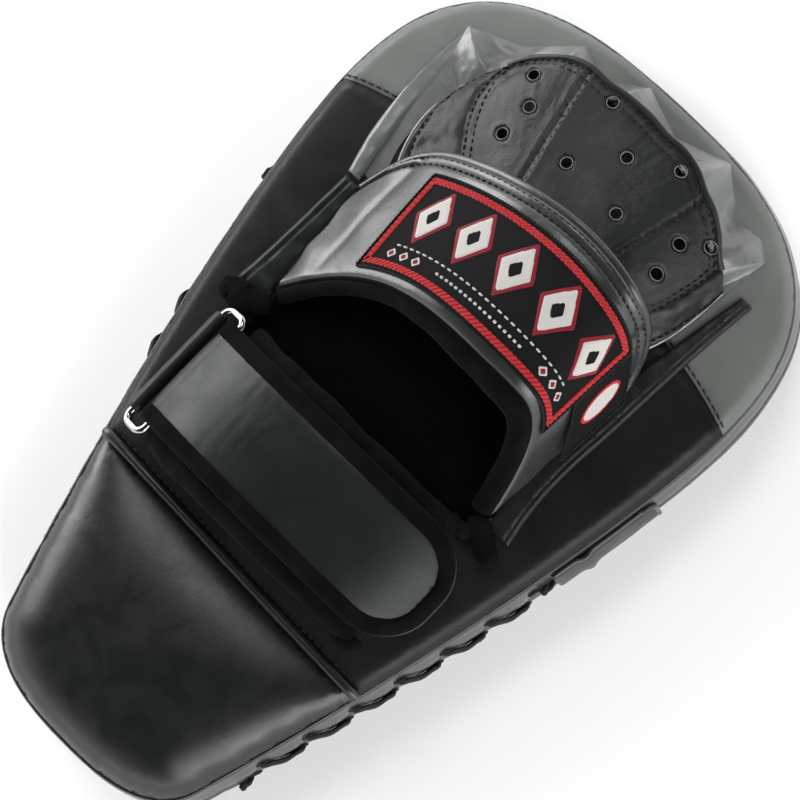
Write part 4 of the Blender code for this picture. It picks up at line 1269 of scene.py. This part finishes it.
def build_label(moved):
    """A woven patch with a red sewn border and plain generic motifs: lozenges, dashes and small diamonds."""
    patch = Patch(-46.0, 60.0, 0.08, 0.84, moved)
    w, h = patch.width, patch.height
    patch.sheet("label_ground", box_loop(w, h), "label", 0.5, 0.7, 1.6, replaces=("label_patch",))
    border = [box_line(w, h, 2.2 + 2.6 * (k + 0.5) / 4.0) for k in range(4)]
    patch.threads("label_red_border", border, "red", 1.35, 2.2, 2.3, 0.42)
    patch.threads("label_edge", [box_line(w, h, 0.5)], "thread", 1.1, 1.5, 1.7, 0.55)
    for k, x in enumerate(spread(17.0, w - 15.0, LOZENGES)):
        for suffix, grow, look, base, rise in (("edge", 1.1, "dark_red", 1.15, 0.3),
                                               ("field", 0.0, "white", 1.3, 0.45)):
            loop = lozenge(x, h * 0.60, LOZENGE_WIDE + grow * 1.5, LOZENGE_TALL + grow * 1.8)
            patch.sheet(f"label_lozenge_{suffix}_{k}", loop, look, base, rise, 0.9)
        loop = lozenge(x, h * 0.60, LOZENGE_WIDE * 0.42, LOZENGE_TALL * 0.42)
        patch.sheet(f"label_lozenge_heart_{k}", loop, "label", 1.6, 0.3, 0.7)
    patch.threads("label_dashes", [[(11.0, h * 0.27), (w - 11.0, h * 0.27)]], "white", 1.3, 3.4, 2.2, 0.42)
    patch.threads("label_fine_dashes", [[(w * 0.3, h * 0.185), (w * 0.7, h * 0.185)]], "white", 1.3, 2.6, 1.6,
                  0.6)
    for k, x in enumerate([12.0, 18.5, 25.0, w - 25.0, w - 18.5, w - 12.0]):
        patch.sheet(f"label_diamond_edge_{k}", lozenge(x, h * 0.185, 2.5, 2.5), "white", 1.15, 0.25, 0.7)
        patch.sheet(f"label_diamond_{k}", lozenge(x, h * 0.185, 1.5, 1.5), "dark_red", 1.35, 0.3, 0.6)


def build_tag(moved):
    """The small side tag: black, with a plain white oval edged in red."""
    patch = Patch(60.0, 78.0, 0.36, 0.84, moved, flare=3.5)
    w, h = patch.width, patch.height
    patch.sheet("tag_ground", box_loop(w, h), "label", 0.6, 0.7, 1.5, replaces=("side_tag",))
    reach = min(w, h) * 0.5

    def ring(a, b):
        return [(w * 0.48 + x, h * 0.52 + y) for x, y in oval(reach * a, reach * b, 40)]
    patch.sheet("tag_red_rim", ring(0.48, 0.76), "red", 1.2, 0.25, 0.9)
    patch.sheet("tag_oval", ring(0.39, 0.67), "white", 1.35, 0.3, 0.9)
    patch.threads("tag_edge", [box_line(w, h, 0.6)], "thread", 1.1, 1.5, 1.7, 0.5)


# ---------------------------------------------------------------- finger cover

HOLES = ((-42.2, 138.9), (-33.5, 128.4), (-34.1, 114.0), (-10.8, 150.8), (8.7, 138.7),
         (-6.2, 121.7), (21.4, 120.2), (26.6, 149.0), (45.1, 128.8), (53.2, 136.6), (46.8, 114.8))
HOLE_RADIUS = 2.5
# Millimetres across the fingers' arch for each radian, near its seams.
FINGER_RADIUS = 62.0
# Distance of the double seam's two rows from the cover's edge.
DOUBLE_SEAM = (2.2, 5.4)
PANEL_SEAMS = (((-13.0, 99.0), (-27.5, 158.0)), ((30.0, 99.0), (41.6, 158.0)))


def seam_angle(v, sign):
    low, high = COVER_SEAMS[0 if sign < 0.0 else 1]
    return sign * math.asin(mix(low, high, v))


def finger_place(x, y):
    """The angle and v at which the finger arch passes over a place in plan."""
    v = 0.5
    angle = 0.0
    for _ in range(12):
        left, right, crown_x = finger_station(v)[:3]
        base = left if x < crown_x else right
        reach = min(max((x - crown_x) / (base - crown_x), 0.0), 0.9999)
        angle = math.asin(reach) * (-1.0 if x < crown_x else 1.0)
        start = front_y(angle) - COVER_TUCK
        v = max(-0.3, min(1.3, (y - start) / (tip_y(angle) - start)))
    return angle, v


def segment_gap(p, a, b):
    """The distance from p to the line a to b, signed by side."""
    ax, ay = a
    bx, by = b
    length = math.hypot(bx - ax, by - ay)
    return ((p[0] - ax) * (by - ay) - (p[1] - ay) * (bx - ax)) / length


def cover_lift(x, y, v, edge, side):
    """Seam grooves, radiating creases and the rolled front edge of the finger cover."""
    lift = 0.0
    for a, b in PANEL_SEAMS:
        gap = segment_gap((x, y), a, b)
        lift -= 0.75 * math.exp(-(gap / 0.8) ** 2)
        lift += 0.25 * math.exp(-((abs(gap) - 2.0) / 1.4) ** 2)
        phase = y * 1.9 + 3.0 * noise.noise(Vector((x, y, 0)) / 9.0)
        lift += 0.12 * math.exp(-abs(gap) / 3.0) * math.sin(phase)
    for reach in DOUBLE_SEAM:
        lift -= 0.5 * math.exp(-((side - reach) / 0.7) ** 2)
        lift -= 0.4 * math.exp(-((edge - reach) / 0.7) ** 2)
    lift -= 1.2 * math.exp(-min(edge, side) / 0.9)
    bearing = math.atan2(y - 70.0, x - 5.0)
    radius = math.hypot(x - 5.0, y - 70.0)
    crease = noise.noise(Vector((bearing * 26.0, radius / 34.0, 1.0)))
    fine = noise.noise(Vector((bearing * 70.0, radius / 16.0, 4.0)))
    across = noise.noise(Vector((radius / 4.5, bearing * 5.0, 9.0)))
    worn = 0.35 + 0.65 * smooth_step((v - 0.2) / 0.6)
    lift -= worn * (0.25 * (1.0 - abs(crease) * 3.0 if abs(crease) < 0.333 else 0.0) + 0.10 * abs(fine))
    lift += 0.08 * across + 0.35 * noise.noise(Vector((x / 17.0, y / 17.0, 3.0)))
    return lift


def finger_length(angle):
    return tip_y(angle) - front_y(angle) + COVER_TUCK


def front_v(angle):
    """The cover's sewn front edge dips a little between the fingertips."""
    degrees = math.degrees(angle)
    dip = 0.5 + 0.5 * math.cos(2.0 * math.pi * (degrees + 21.0) / 25.8)
    return 1.0 - 1.1 * dip ** 2 / finger_length(angle)


def cover_outline():
    """The cover's edge in plan: its left, front, right and rear lines, as one way round."""
    def plan(places):
        return [tuple(finger_point(angle, v)[:2]) for angle, v in places]
    left = plan((seam_angle(v, -1.0), v) for v in spread(0.0, 1.0, 45))
    right = plan((seam_angle(v, 1.0), v) for v in spread(1.0, 0.0, 45))
    front = plan((angle, front_v(angle)) for angle in cover_turns(1.0, 100)[1:-1])
    rear = plan((angle, 0.0) for angle in cover_turns(0.0, 80)[-2:0:-1])
    return left, front, right, rear


def cover_turns(v, count, inset=0.0):
    """Angles from the cover's left seam to its right seam."""
    first, last = (math.degrees(seam_angle(v, sign)) for sign in (-1.0, 1.0))
    return degree_range(first + inset, last - inset, count)


def cover_thread(places, lift):
    return [(raised(finger_point, angle, v, lift), outward(finger_point, angle, v)) for angle, v in places]


def build_cover():
    """The ventilated leather over the fingers: three panels, punched holes and a double-sewn edge."""
    left, front, right, rear = cover_outline()
    spokes = np.array(oval(1.0, 1.0, 18))
    holes = [np.array(place) + spokes * HOLE_RADIUS for place in HOLES]
    flat, faces = fill_loop(even_loop(left + front + right + rear, 1.3), 1.35, holes)
    edge = distance_to(even_line(front, 0.8), flat)
    side = distance_to(np.concatenate([even_line(left, 0.8), even_line(right, 0.8)]), flat)
    rings = distance_to(np.concatenate(holes), flat)
    points = []
    for (x, y), e, s, r in zip(flat, edge, side, rings):
        angle, v = finger_place(x, y)
        lift = cover_lift(x, y, v, e, s) + 0.25 * math.exp(-((r - 1.2) / 0.8) ** 2) - 0.3 * math.exp(-r / 0.5)
        points.append(raised(finger_point, angle, v, lift))
    cover = add_piece("vented_cover", points, faces, "cover", replaces=("finger_cover",), closed=False)
    thicken(cover, COVER_THICKNESS)
    rows = []
    for a, b in PANEL_SEAMS:
        places = [finger_place(mix(a[0], b[0], s) + 1.3, mix(a[1], b[1], s)) for s in spread(0.0, 1.0, 60)]
        rows.append(cover_thread([(angle, v) for angle, v in places if 0.03 < v < 0.95], -0.25))
    for sign in (-1.0, 1.0):
        for reach in DOUBLE_SEAM:
            rows.append(cover_thread([(seam_angle(v, sign) - sign * reach / FINGER_RADIUS, v)
                                      for v in spread(0.03, 0.97, 60)],
                                     -0.3))
    for reach in DOUBLE_SEAM:
        rows.append(cover_thread([(angle, front_v(angle) - reach / finger_length(angle))
                                  for angle in cover_turns(1.0, 100, 3.0)], -0.25))
    stitches("cover_stitches", rows, pitch=3.1, length=2.3, radius=0.34)
    edge = [raised(finger_point, angle, front_v(angle), -0.9) for angle in cover_turns(1.0, 90)]
    tube("cover_front_piping", curve_through(edge, 1.4), 1.35, "cover", wobble=0.16, sides=10)
    # Thin rims of the pale top leather round each hole: a painted highlight on the hole's edge.
    hoops = []
    for hole in holes:
        hoop = []
        for (x, y), way in zip(hole, spokes):
            angle, v = finger_place(x, y)
            spoke = np.array((*way, 0.0))
            hoop.append((raised(finger_point, angle, v, -0.05) - spoke * 0.1, spoke,
                         outward(finger_point, angle, v)))
        hoops.append(hoop)
    add_rims("hole_rim_highlights", hoops, 0.22, 0.22, "top")


def build_cover_sides():
    for name, sign, node in (("cover_gusset_left", -1.0, "finger_cover_side_left"),
                             ("cover_gusset_right", 1.0, "finger_cover_side_right")):
        grid = []
        line = []
        lip = []
        for v in spread(0.0, 1.0, 40):
            first = math.degrees(seam_angle(v, sign)) - sign * 0.6
            last = sign * (mix(*SIDE_LOW[sign], v) + 1.5)
            deep = abs(last - first)
            row = []
            for share, angle in zip(spread(0.0, 1.0, 26), degree_range(first, last, 26)):
                place = finger_point(angle, v)
                down = (1.0 - share) * deep * 0.9
                lift = 0.7 * ripple(place, 8.0, 3.0) + 0.35 * ripple(place, 3.2, 1.0)
                lift -= 0.5 * math.exp(-((down - 4.0) / 0.8) ** 2) + 0.8 * math.exp(-down / 0.8)
                lift -= 0.9 * math.exp(-share * deep / 1.5)
                row.append([raised(finger_point, angle, v, up) for up in (lift, lift - COVER_THICKNESS)])
            grid.append(row)
            line.append((math.radians(last) - sign * math.radians(4.4), v))
            lip.append(raised(finger_point, math.radians(last), v, -0.8))
        add_shell(name, grid, "cover", replaces=(node,))
        stitches(name + "_stitches", [cover_thread(line[1:-1], -0.1)], pitch=3.0, length=2.2, radius=0.32)
        # The pale lip along the gusset's lower edge is a painted highlight.
        tube(name + "_edge", curve_through(lip, 1.4), 0.55, "painted_highlight", sides=8)


# ---------------------------------------------------------------- pleated pocket and flanges

# Hem on the pad: x, y, the arch angle and v above it, and 1 at a fold's tip.
POCKET_HEM = ((-67.5, 68.0, -88.0, 0.12, 0.0), (-71.0, 86.0, -87.0, 0.45, 0.0),
              (-75.0, 103.0, -83.0, 0.72, 0.1), (-79.5, 138.0, -70.0, 0.90, 1.0),
              (-57.0, 146.0, -56.0, 0.90, 0.0), (-40.0, 163.0, -40.0, 0.90, 1.0),
              (-25.0, 157.0, -28.0, 0.90, 0.0), (-10.0, 168.0, -16.0, 0.90, 1.0),
              (11.0, 160.0, 4.0, 0.90, 0.0),
              (33.0, 167.2, 26.0, 0.90, 1.0), (50.0, 153.0, 42.0, 0.90, 0.0), (62.0, 153.5, 57.0, 0.90, 0.9),
              (69.5, 148.5, 66.0, 0.90, 0.9), (67.0, 126.0, 80.0, 0.90, 0.0))
FLANGE_LEFT = (((-76.0, 5.0), (-74.0, 30.0), (-72.6, 63.0)), ((-60.5, 5.0), (-61.8, 30.0), (-64.0, 63.0)))
FLANGE_RIGHT = (((62.0, 3.0), (60.0, 20.0), (59.0, 38.0), (60.5, 63.0), (67.5, 105.0), (72.5, 132.0)),
                ((74.2, 3.0), (71.6, 20.0), (71.2, 38.0), (73.0, 63.0), (75.6, 105.0), (78.0, 132.0)))
POCKET_STRIP = (((-73.0, 64.5), (-77.6, 82.0), (-79.8, 101.0), (-80.2, 120.0), (-78.6, 134.0)),
                ((-67.0, 64.5), (-70.0, 82.0), (-73.0, 101.0), (-74.5, 120.0), (-76.6, 134.0)))


def build_pocket():
    """Pleated leather from under the cover down to the pad, with five folded tips."""
    columns = []
    for first, second in zip(POCKET_HEM, POCKET_HEM[1:]):
        count = max(int(math.hypot(second[0] - first[0], second[1] - first[1]) / 1.1), 8)
        columns += [[mix(a, b, k / count) for a, b in zip(first, second)] for k in range(count)]
    columns = np.array(columns + [list(POCKET_HEM[-1])])
    middle = columns.copy()
    smooth_rows(middle)
    smooth_rows(middle)
    grid = []
    for share in spread(0.0, 1.0, 40):
        row = []
        for rounded, folded in zip(middle, columns):
            x, y, degrees, v, peak = mix(rounded, folded, smooth_step((share - 0.15) / 0.85))
            crown = finger_point(math.radians(degrees), v, 3.0)
            sharp = max(peak, 0.0) ** 2.4
            here_x, here_y = mix(crown[0], x, share), mix(crown[1], y, share)
            z = mix(crown[2] - 1.8, back_height(x, y) + 0.5, share ** mix(0.6, 2.0, sharp))
            fold = 2.2 * sharp * math.sin(math.pi * min(share * 1.05, 1.0)) ** 0.7
            z += fold - 1.4 * (1.0 - sharp) * math.sin(math.pi * share) ** 1.2
            here = (here_x, here_y, z)
            wrinkle = 0.55 * ripple(here, 6.5, 2.0) + 0.3 * ripple(here, 3.0, 7.0)
            floor = back_height(here_x, here_y) + 0.4
            z = max(z + wrinkle * (1.0 - share) ** 0.5, floor)
            row.append(((here_x, here_y, z), (here_x, here_y, max(z - 1.4, floor - 0.9))))
        grid.append(row)
    add_shell("pleated_pocket", grid, "pleat", replaces=("finger_pocket",))


def along_line(line, share):
    spot = share * (len(line) - 1.0)
    i = min(int(spot), len(line) - 2)
    return mix(np.array(line[i]), np.array(line[i + 1]), spot - i)


def strip_solid(name, edges, thickness, look, node, rows=60, columns=12, groove=None, fade=0.0):
    """A sewn strip on the pad's back between two edge lines."""
    left, right = (curve_through(edge, 1.0) for edge in edges)
    grid = []
    for share in spread(0.0, 1.0, rows):
        a, b = along_line(left, share), along_line(right, share)
        width = math.hypot(b[0] - a[0], b[1] - a[1])
        row = []
        for k in spread(0.0, 1.0, columns):
            across = 0.5 - 0.5 * math.cos(math.pi * k)
            x, y = mix(a, b, across)
            z = back_height(x, y) + 0.3
            edge = min(across, 1.0 - across) * width
            end = min(share, 1.0 - share) * rows / 2.0
            puff = thickness * (1.0 - 0.75 * math.exp(-edge / 0.8)) * min(1.0, 0.4 + end)
            faded = 1.0 - fade * smooth_step((share - 0.25) / 0.35)
            puff = (puff + 0.5 * ripple((x, y, z), 7.0, 4.0)) * faded
            if groove is not None:
                reach = (1.0 - across if groove > 0.0 else across) * width
                puff -= 0.5 * math.exp(-((reach - abs(groove)) / 0.7) ** 2)
            row.append(((x, y, z + max(puff, 0.2)), (x, y, z - 0.6)))
        grid.append(row)
    add_shell(name, grid, look, replaces=(node,))


def build_lump(name, line, radius, node, wobble=0.2):
    """A rolled end of velour: fat, uneven and closed at both ends."""
    line = curve_through(line, 0.55)

    def section(i, share):
        swell = min(1.0, 0.35 + 6.0 * min(share, 1.0 - share)) ** 0.6
        swell *= 1.0 + wobble * ripple(line[i], 4.5, 3.0)
        return [(a * swell * (1.0 + 0.3 * ripple(line[i] + np.array((a, b, 0.0)), 1.3)), b * swell * 0.55)
                for a, b in oval(radius, radius, 30)]
    swept(name, line, section, "velour", replaces=(node,) if node else ())


def build_flanges():
    strip_solid("sewn_flange_left", FLANGE_LEFT, 2.2, "strap", "flange_left", columns=24, groove=-3.4)
    strip_solid("sewn_flange_right", FLANGE_RIGHT, 2.2, "cover", "flange_right", rows=110, columns=30,
                groove=2.2)
    strip_solid("sewn_pocket_strip", POCKET_STRIP, 1.8, "pleat", "pocket_strip", rows=100, columns=16,
                fade=0.75)
    build_lump("velour_end_left",
               [(-76.5, -2.5, 50.5), (-72.0, 1.0, 51.8), (-66.0, 0.5, 52.6), (-61.5, 3.5, 52.4),
                                   (-58.5, 7.0, 51.6)], 5.2, "end_tab_left")
    build_lump("velour_end_right",
               [(60.0, 4.5, 51.8), (62.5, 0.0, 52.2), (66.5, -3.0, 51.8), (71.5, -4.5, 51.2),
                                    (74.5, -4.0, 50.6)], 4.6, "end_tab_right")
    rows = []
    for line, off, rise in ((FLANGE_LEFT[0], 3.4, 1.75), (FLANGE_RIGHT[1], -3.0, 1.95)):
        rows.append([((x + off, y, back_height(x + off, y) + 0.3 + rise - 0.35), UP)
                     for x, y in curve_through(line, 1.2)[3:-3]])
    stitches("flange_stitches", rows, pitch=3.4, length=2.6, radius=0.36)


# ---------------------------------------------------------------- wrist strap

def strap_z(x, crown, end, half, middle):
    return end + (crown - end) * (1.0 - min(abs((x - middle) / half), 1.0) ** 2.4)


PROFILE_STEP = 0.5


def strap_profile():
    """The strap's top face seen along Y: round the ring's bar first, then over the wrist."""
    span = STRAP_END_X - RING_INNER[0]
    middle = mix(RING_INNER[0], STRAP_END_X, 0.5)
    line = []
    for x in np.arange(RING_INNER[0] - STRAP_WRAP, STRAP_END_X + 1.0, PROFILE_STEP):
        if x < RING_INNER[0]:
            turn = (RING_INNER[0] - x) / FOLD_RADIUS
            line.append((RING_INNER[0] - FOLD_RADIUS * math.sin(turn),
                         RING_INNER[1] + FOLD_RADIUS * math.cos(turn)))
        else:
            end = mix(RING_INNER[1] + FOLD_RADIUS, STRAP_END_Z, min((x - RING_INNER[0]) / span, 1.0))
            line.append((x, strap_z(x, STRAP_CROWN_Z, end, span / 2.0, middle)))
    line = np.array(line)
    for _ in range(4):
        smooth_rows(line)
    return line


STRAP_PROFILE = strap_profile()


def strap_point(x, y, lift):
    spot = (x - RING_INNER[0] + STRAP_WRAP) / PROFILE_STEP
    i = max(min(int(spot), len(STRAP_PROFILE) - 2), 0)
    low, high = STRAP_PROFILE[i], STRAP_PROFILE[i + 1]
    place = mix(low, high, spot - i)
    way = (high - low) / np.linalg.norm(high - low)
    if x > RING_INNER[0] + 8.0:
        return place[0], y, place[1] + lift
    return place[0] - way[1] * lift, y, place[1] + way[0] * lift


def strap_outline(x, inset):
    half = (STRAP_HIGH_Y - STRAP_LOW_Y) / 2.0 - inset
    corner = STRAP_CORNER - inset
    over = x - (STRAP_END_X - inset - corner)
    if over <= 0.0:
        return half
    return half - corner + math.sqrt(max(corner ** 2 - over ** 2, 0.0))


def strap_loop(first, inset):
    """The strap's edge in plan, from its fold round the free end and back."""
    middle = (STRAP_LOW_Y + STRAP_HIGH_Y) / 2.0
    last = STRAP_END_X - inset
    xs = [mix(first, last, math.sin(turn)) for turn in spread(0.0, 0.5 * math.pi, 120)]
    half = [(x, strap_outline(x, inset)) for x in xs]
    return even_line([(x, middle - w) for x, w in half] + [(x, middle + w) for x, w in half[::-1]], 1.5)


def on_strap(item):
    """Frees a strap piece from its body and bakes its place into its mesh."""
    item.parent = None
    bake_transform(item)


def build_strap():
    first = RING_INNER[0] - STRAP_WRAP + 0.6
    loop = strap_loop(first, STRAP_BINDING - 2.2)
    flat, faces = fill_loop(even_loop(loop, 1.5), 1.8)
    border = distance_to(strap_loop(first - 30.0, STRAP_BINDING - 2.2), flat)
    points = []
    for (x, y), gap in zip(flat, border):
        lift = 0.6 * (1.0 - math.exp(-gap / 6.0)) - 0.6 * math.exp(-gap / 1.5)
        lift += 0.30 * noise.noise(Vector((x / 26.0, y / 26.0, 5.0)))
        crease = noise.noise(Vector((x / 1.9, y / 26.0, 2.0)))
        lift -= 0.16 * math.exp(-((x + 27.0) / 13.0) ** 2) * max(0.0, 1.0 - abs(crease) * 4.0)
        points.append(strap_point(x, y, lift))
    face = add_piece("strap_leather", points, faces, "strap", body=None, replaces=("strap_flap",),
                     closed=False)
    thicken(face, STRAP_THICKNESS - 0.2)
    on_strap(face)
    line = strap_loop(RING_INNER[0] - 4.0, STRAP_BINDING / 2.0)
    centres = [strap_point(x, y, -0.9) for x, y in line]
    ups = [Vector((strap_point(x - 0.5, 0.0, 0.0)[2] - strap_point(x + 0.5, 0.0, 0.0)[2], 0.0, 1.0)) for x,
           _ in line]

    def section(i, share):
        swell = 1.0 + 0.025 * ripple(centres[i], 5.0, 6.0)
        return [(a * swell * (1.0 + 0.025 * ripple(centres[i] + np.array((a, 0, b)), 1.6)), b * swell)
                for a, b in oval(STRAP_BINDING / 2.0 + 0.4, 2.35, 20)]
    on_strap(swept("strap_velour", centres, section, "velour", body=None, up=ups,
                   replaces=("strap_binding",)))
    rim = strap_loop(RING_INNER[0] - 4.0, 0.35)
    on_strap(tube("strap_outer_edge", [strap_point(x, y, -1.6) for x, y in rim], 0.7, "strap", body=None,
                  sides=8))
    build_tape("hook_strip", lambda x, y: strap_point(x, y, -STRAP_THICKNESS - 0.5), 1.3, "hook_pad", HOOK_X,
               True)
    build_tape("loop_strip", lambda x, y: cuff_point(x, y, 1.8), 1.9, "loop_pad", LOOP_X, False)


def inside_tape(x, y, span):
    """How far a place is from the edge of a tape."""
    return min(x - span[0], span[1] - x, y - TAPE_Y[0], TAPE_Y[1] - y)


def build_tape(name, place, thickness, node, span, moves):
    """A rectangle of hook or loop tape with a short fuzzy pile, which faces down where it moves."""
    grid = []
    for y in spread(*TAPE_Y, 40):
        row = []
        for x in spread(*span, 90):
            px, py, pz = place(x, y)
            fuzz = 0.22 * ripple((px, py, pz), 0.9, 1.0) * min(inside_tape(x, y, span), 1.0)
            upper, lower = (0.0, fuzz) if moves else (fuzz, 0.0)
            row.append(((px, py, pz + upper), (px, py, pz - thickness + lower)))
        grid.append(row)
    item = add_shell(name, grid, "hook", body=None if moves else "pad", replaces=(node,))
    if moves:
        on_strap(item)


def cuff_point(x, y, lift):
    z = strap_z(x, CUFF_CROWN_Z, CUFF_END_Z, CUFF_HALF, CUFF_X)
    return np.array((x, y, z + lift))


def build_cuff():
    """The padded velour cuff under the strap: quilted channels along it and rolled edges."""
    def place(angle, y, lift):
        x = CUFF_X + (CUFF_HALF + (0.0 if lift > -3.0 else -4.0)) * math.sin(angle)
        return cuff_point(x, y, lift)
    form = [[(place(a, y, -0.8), place(a, y, -CUFF_THICKNESS)) for a in degree_range(-90.0, 90.0, 41)]
            for y in spread(CUFF_LOW_Y, CUFF_HIGH_Y, 17)]
    channels = (0, 3, 6, 10, 13, 16)
    rows, columns = 70, 130
    moved = swollen_shell(form, channels, 2.4, rows, columns, pressure=8.0, shrink=-0.03)
    marks = [mix(CUFF_LOW_Y, CUFF_HIGH_Y, k / 16.0) for k in channels]
    grid = []
    for i, y in enumerate(spread(CUFF_LOW_Y, CUFF_HIGH_Y, rows)):
        row = []
        for j, angle in enumerate(degree_range(-90.0, 90.0, columns)):
            p = place(angle, y, 0.0)
            near = min(abs(y - m) for m in marks)
            lift = -2.2 * math.exp(-(near / 1.3) ** 2) + 1.2 * (1.0 - math.exp(-near / 2.0))
            lift += 0.6 * ripple(p, 9.0, 8.0) + 0.3 * ripple(p, 3.0, 2.0)
            wander = np.array((0.0, 1.2 * ripple((p[0], 0.0, y * 0.1), 16.0, 4.0), 0.0))
            flat = smooth_step((inside_tape(p[0], y, LOOP_X) + 2.0) / 2.5)
            row.append((p + (moved[i, j] + np.array((0.0, 0.0, lift))) * (1.0 - flat) + wander,
                        place(angle, y, -CUFF_THICKNESS) + wander))
        grid.append(row)
    item = add_shell("padded_cuff", grid, "velour", replaces=("wrist_cuff",))
    for name, x, y in (("cuff_corner_low", 54.0, CUFF_LOW_Y + 1.5),
                       ("cuff_corner_high", 55.0, CUFF_HIGH_Y - 2.0)):
        line = [(x - 4.0, y, 54.5), (x + 1.0, y, 55.4), (x + 4.5, y + 0.6, 53.6), (x + 5.6, y + 0.2, 50.9)]
        build_lump(name, line, 3.3, None, wobble=0.4)


def build_ring():
    """The chrome wire ring, with the keeper sleeve on its outer bar and the strap's fold on its inner bar."""
    reach = Vector((RING_INNER[0] - RING_OUTER[0], 0.0, RING_INNER[1] - RING_OUTER[1]))
    ahead = reach.normalized()
    corner = RING_CORNER
    span = reach.length
    route = []
    for u, y, start in ((corner, RING_LOW_Y + corner, 180.0), (span - corner, RING_LOW_Y + corner, 270.0),
                        (span - corner, RING_HIGH_Y - corner, 0.0), (corner, RING_HIGH_Y - corner, 90.0)):
        for angle in degree_range(start, start + 90.0, 13):
            place = Vector((RING_OUTER[0], 0.0, RING_OUTER[1])) + ahead * (u + corner * math.cos(angle))
            route.append((place.x, y + corner * math.sin(angle), place.z))
    route = even_line(route + [route[0]], 0.6)[:-1]
    tube("wire_ring", route, RING_WIRE, "chrome", cyclic=True, sides=20,
         up=tuple(ahead.cross(Vector((0.0, 1.0, 0.0)))),
         body="ring", replaces=("ring",))
    build_sleeve("keeper_sleeve", RING_OUTER, SLEEVE_RADIUS - 0.5, 1.2, (20.0, 290.0), RING_LOW_Y + 5.0,
                 RING_HIGH_Y - 3.9, "cover", "pad", "ring_keeper")
    build_sleeve("strap_loop", RING_INNER, FOLD_RADIUS - 0.35, 2.2, (176.0, 262.0), STRAP_LOW_Y,
                 STRAP_HIGH_Y - 0.6,
                 "strap", "ring", "strap_fold")


def build_sleeve(name, centre, radius, wall, turns, low, high, look, body, node):
    """Leather rolled round a bar along Y, with softly rounded ends."""
    grid = []
    for y in spread(low, high, 40):
        fall = 0.5 * math.exp(-min(y - low, high - y) / 0.8)
        place = np.array((centre[0], y, centre[1]))
        row = []
        for angle in degree_range(*turns, 30):
            spoke = np.array((math.cos(angle), 0.0, math.sin(angle)))
            bump = 0.16 * ripple(place + spoke * radius, 5.0, 3.0)
            row.append((place + spoke * (radius - fall + bump), place + spoke * (radius - wall)))
        grid.append(row)
    add_shell(name, grid, look, body=body, replaces=(node,))


def main():
    make_camera()
    make_stage()
    build_back()
    build_sides()
    build_strike_face()
    build_lacing()
    build_gusset_flap()
    moved = build_band()
    build_rim()
    build_linings()
    build_label(moved)
    build_tag(moved)
    build_cover()
    build_cover_sides()
    build_pocket()
    build_flanges()
    build_strap()
    build_cuff()
    build_ring()


main()
bpy.context.view_layer.update()
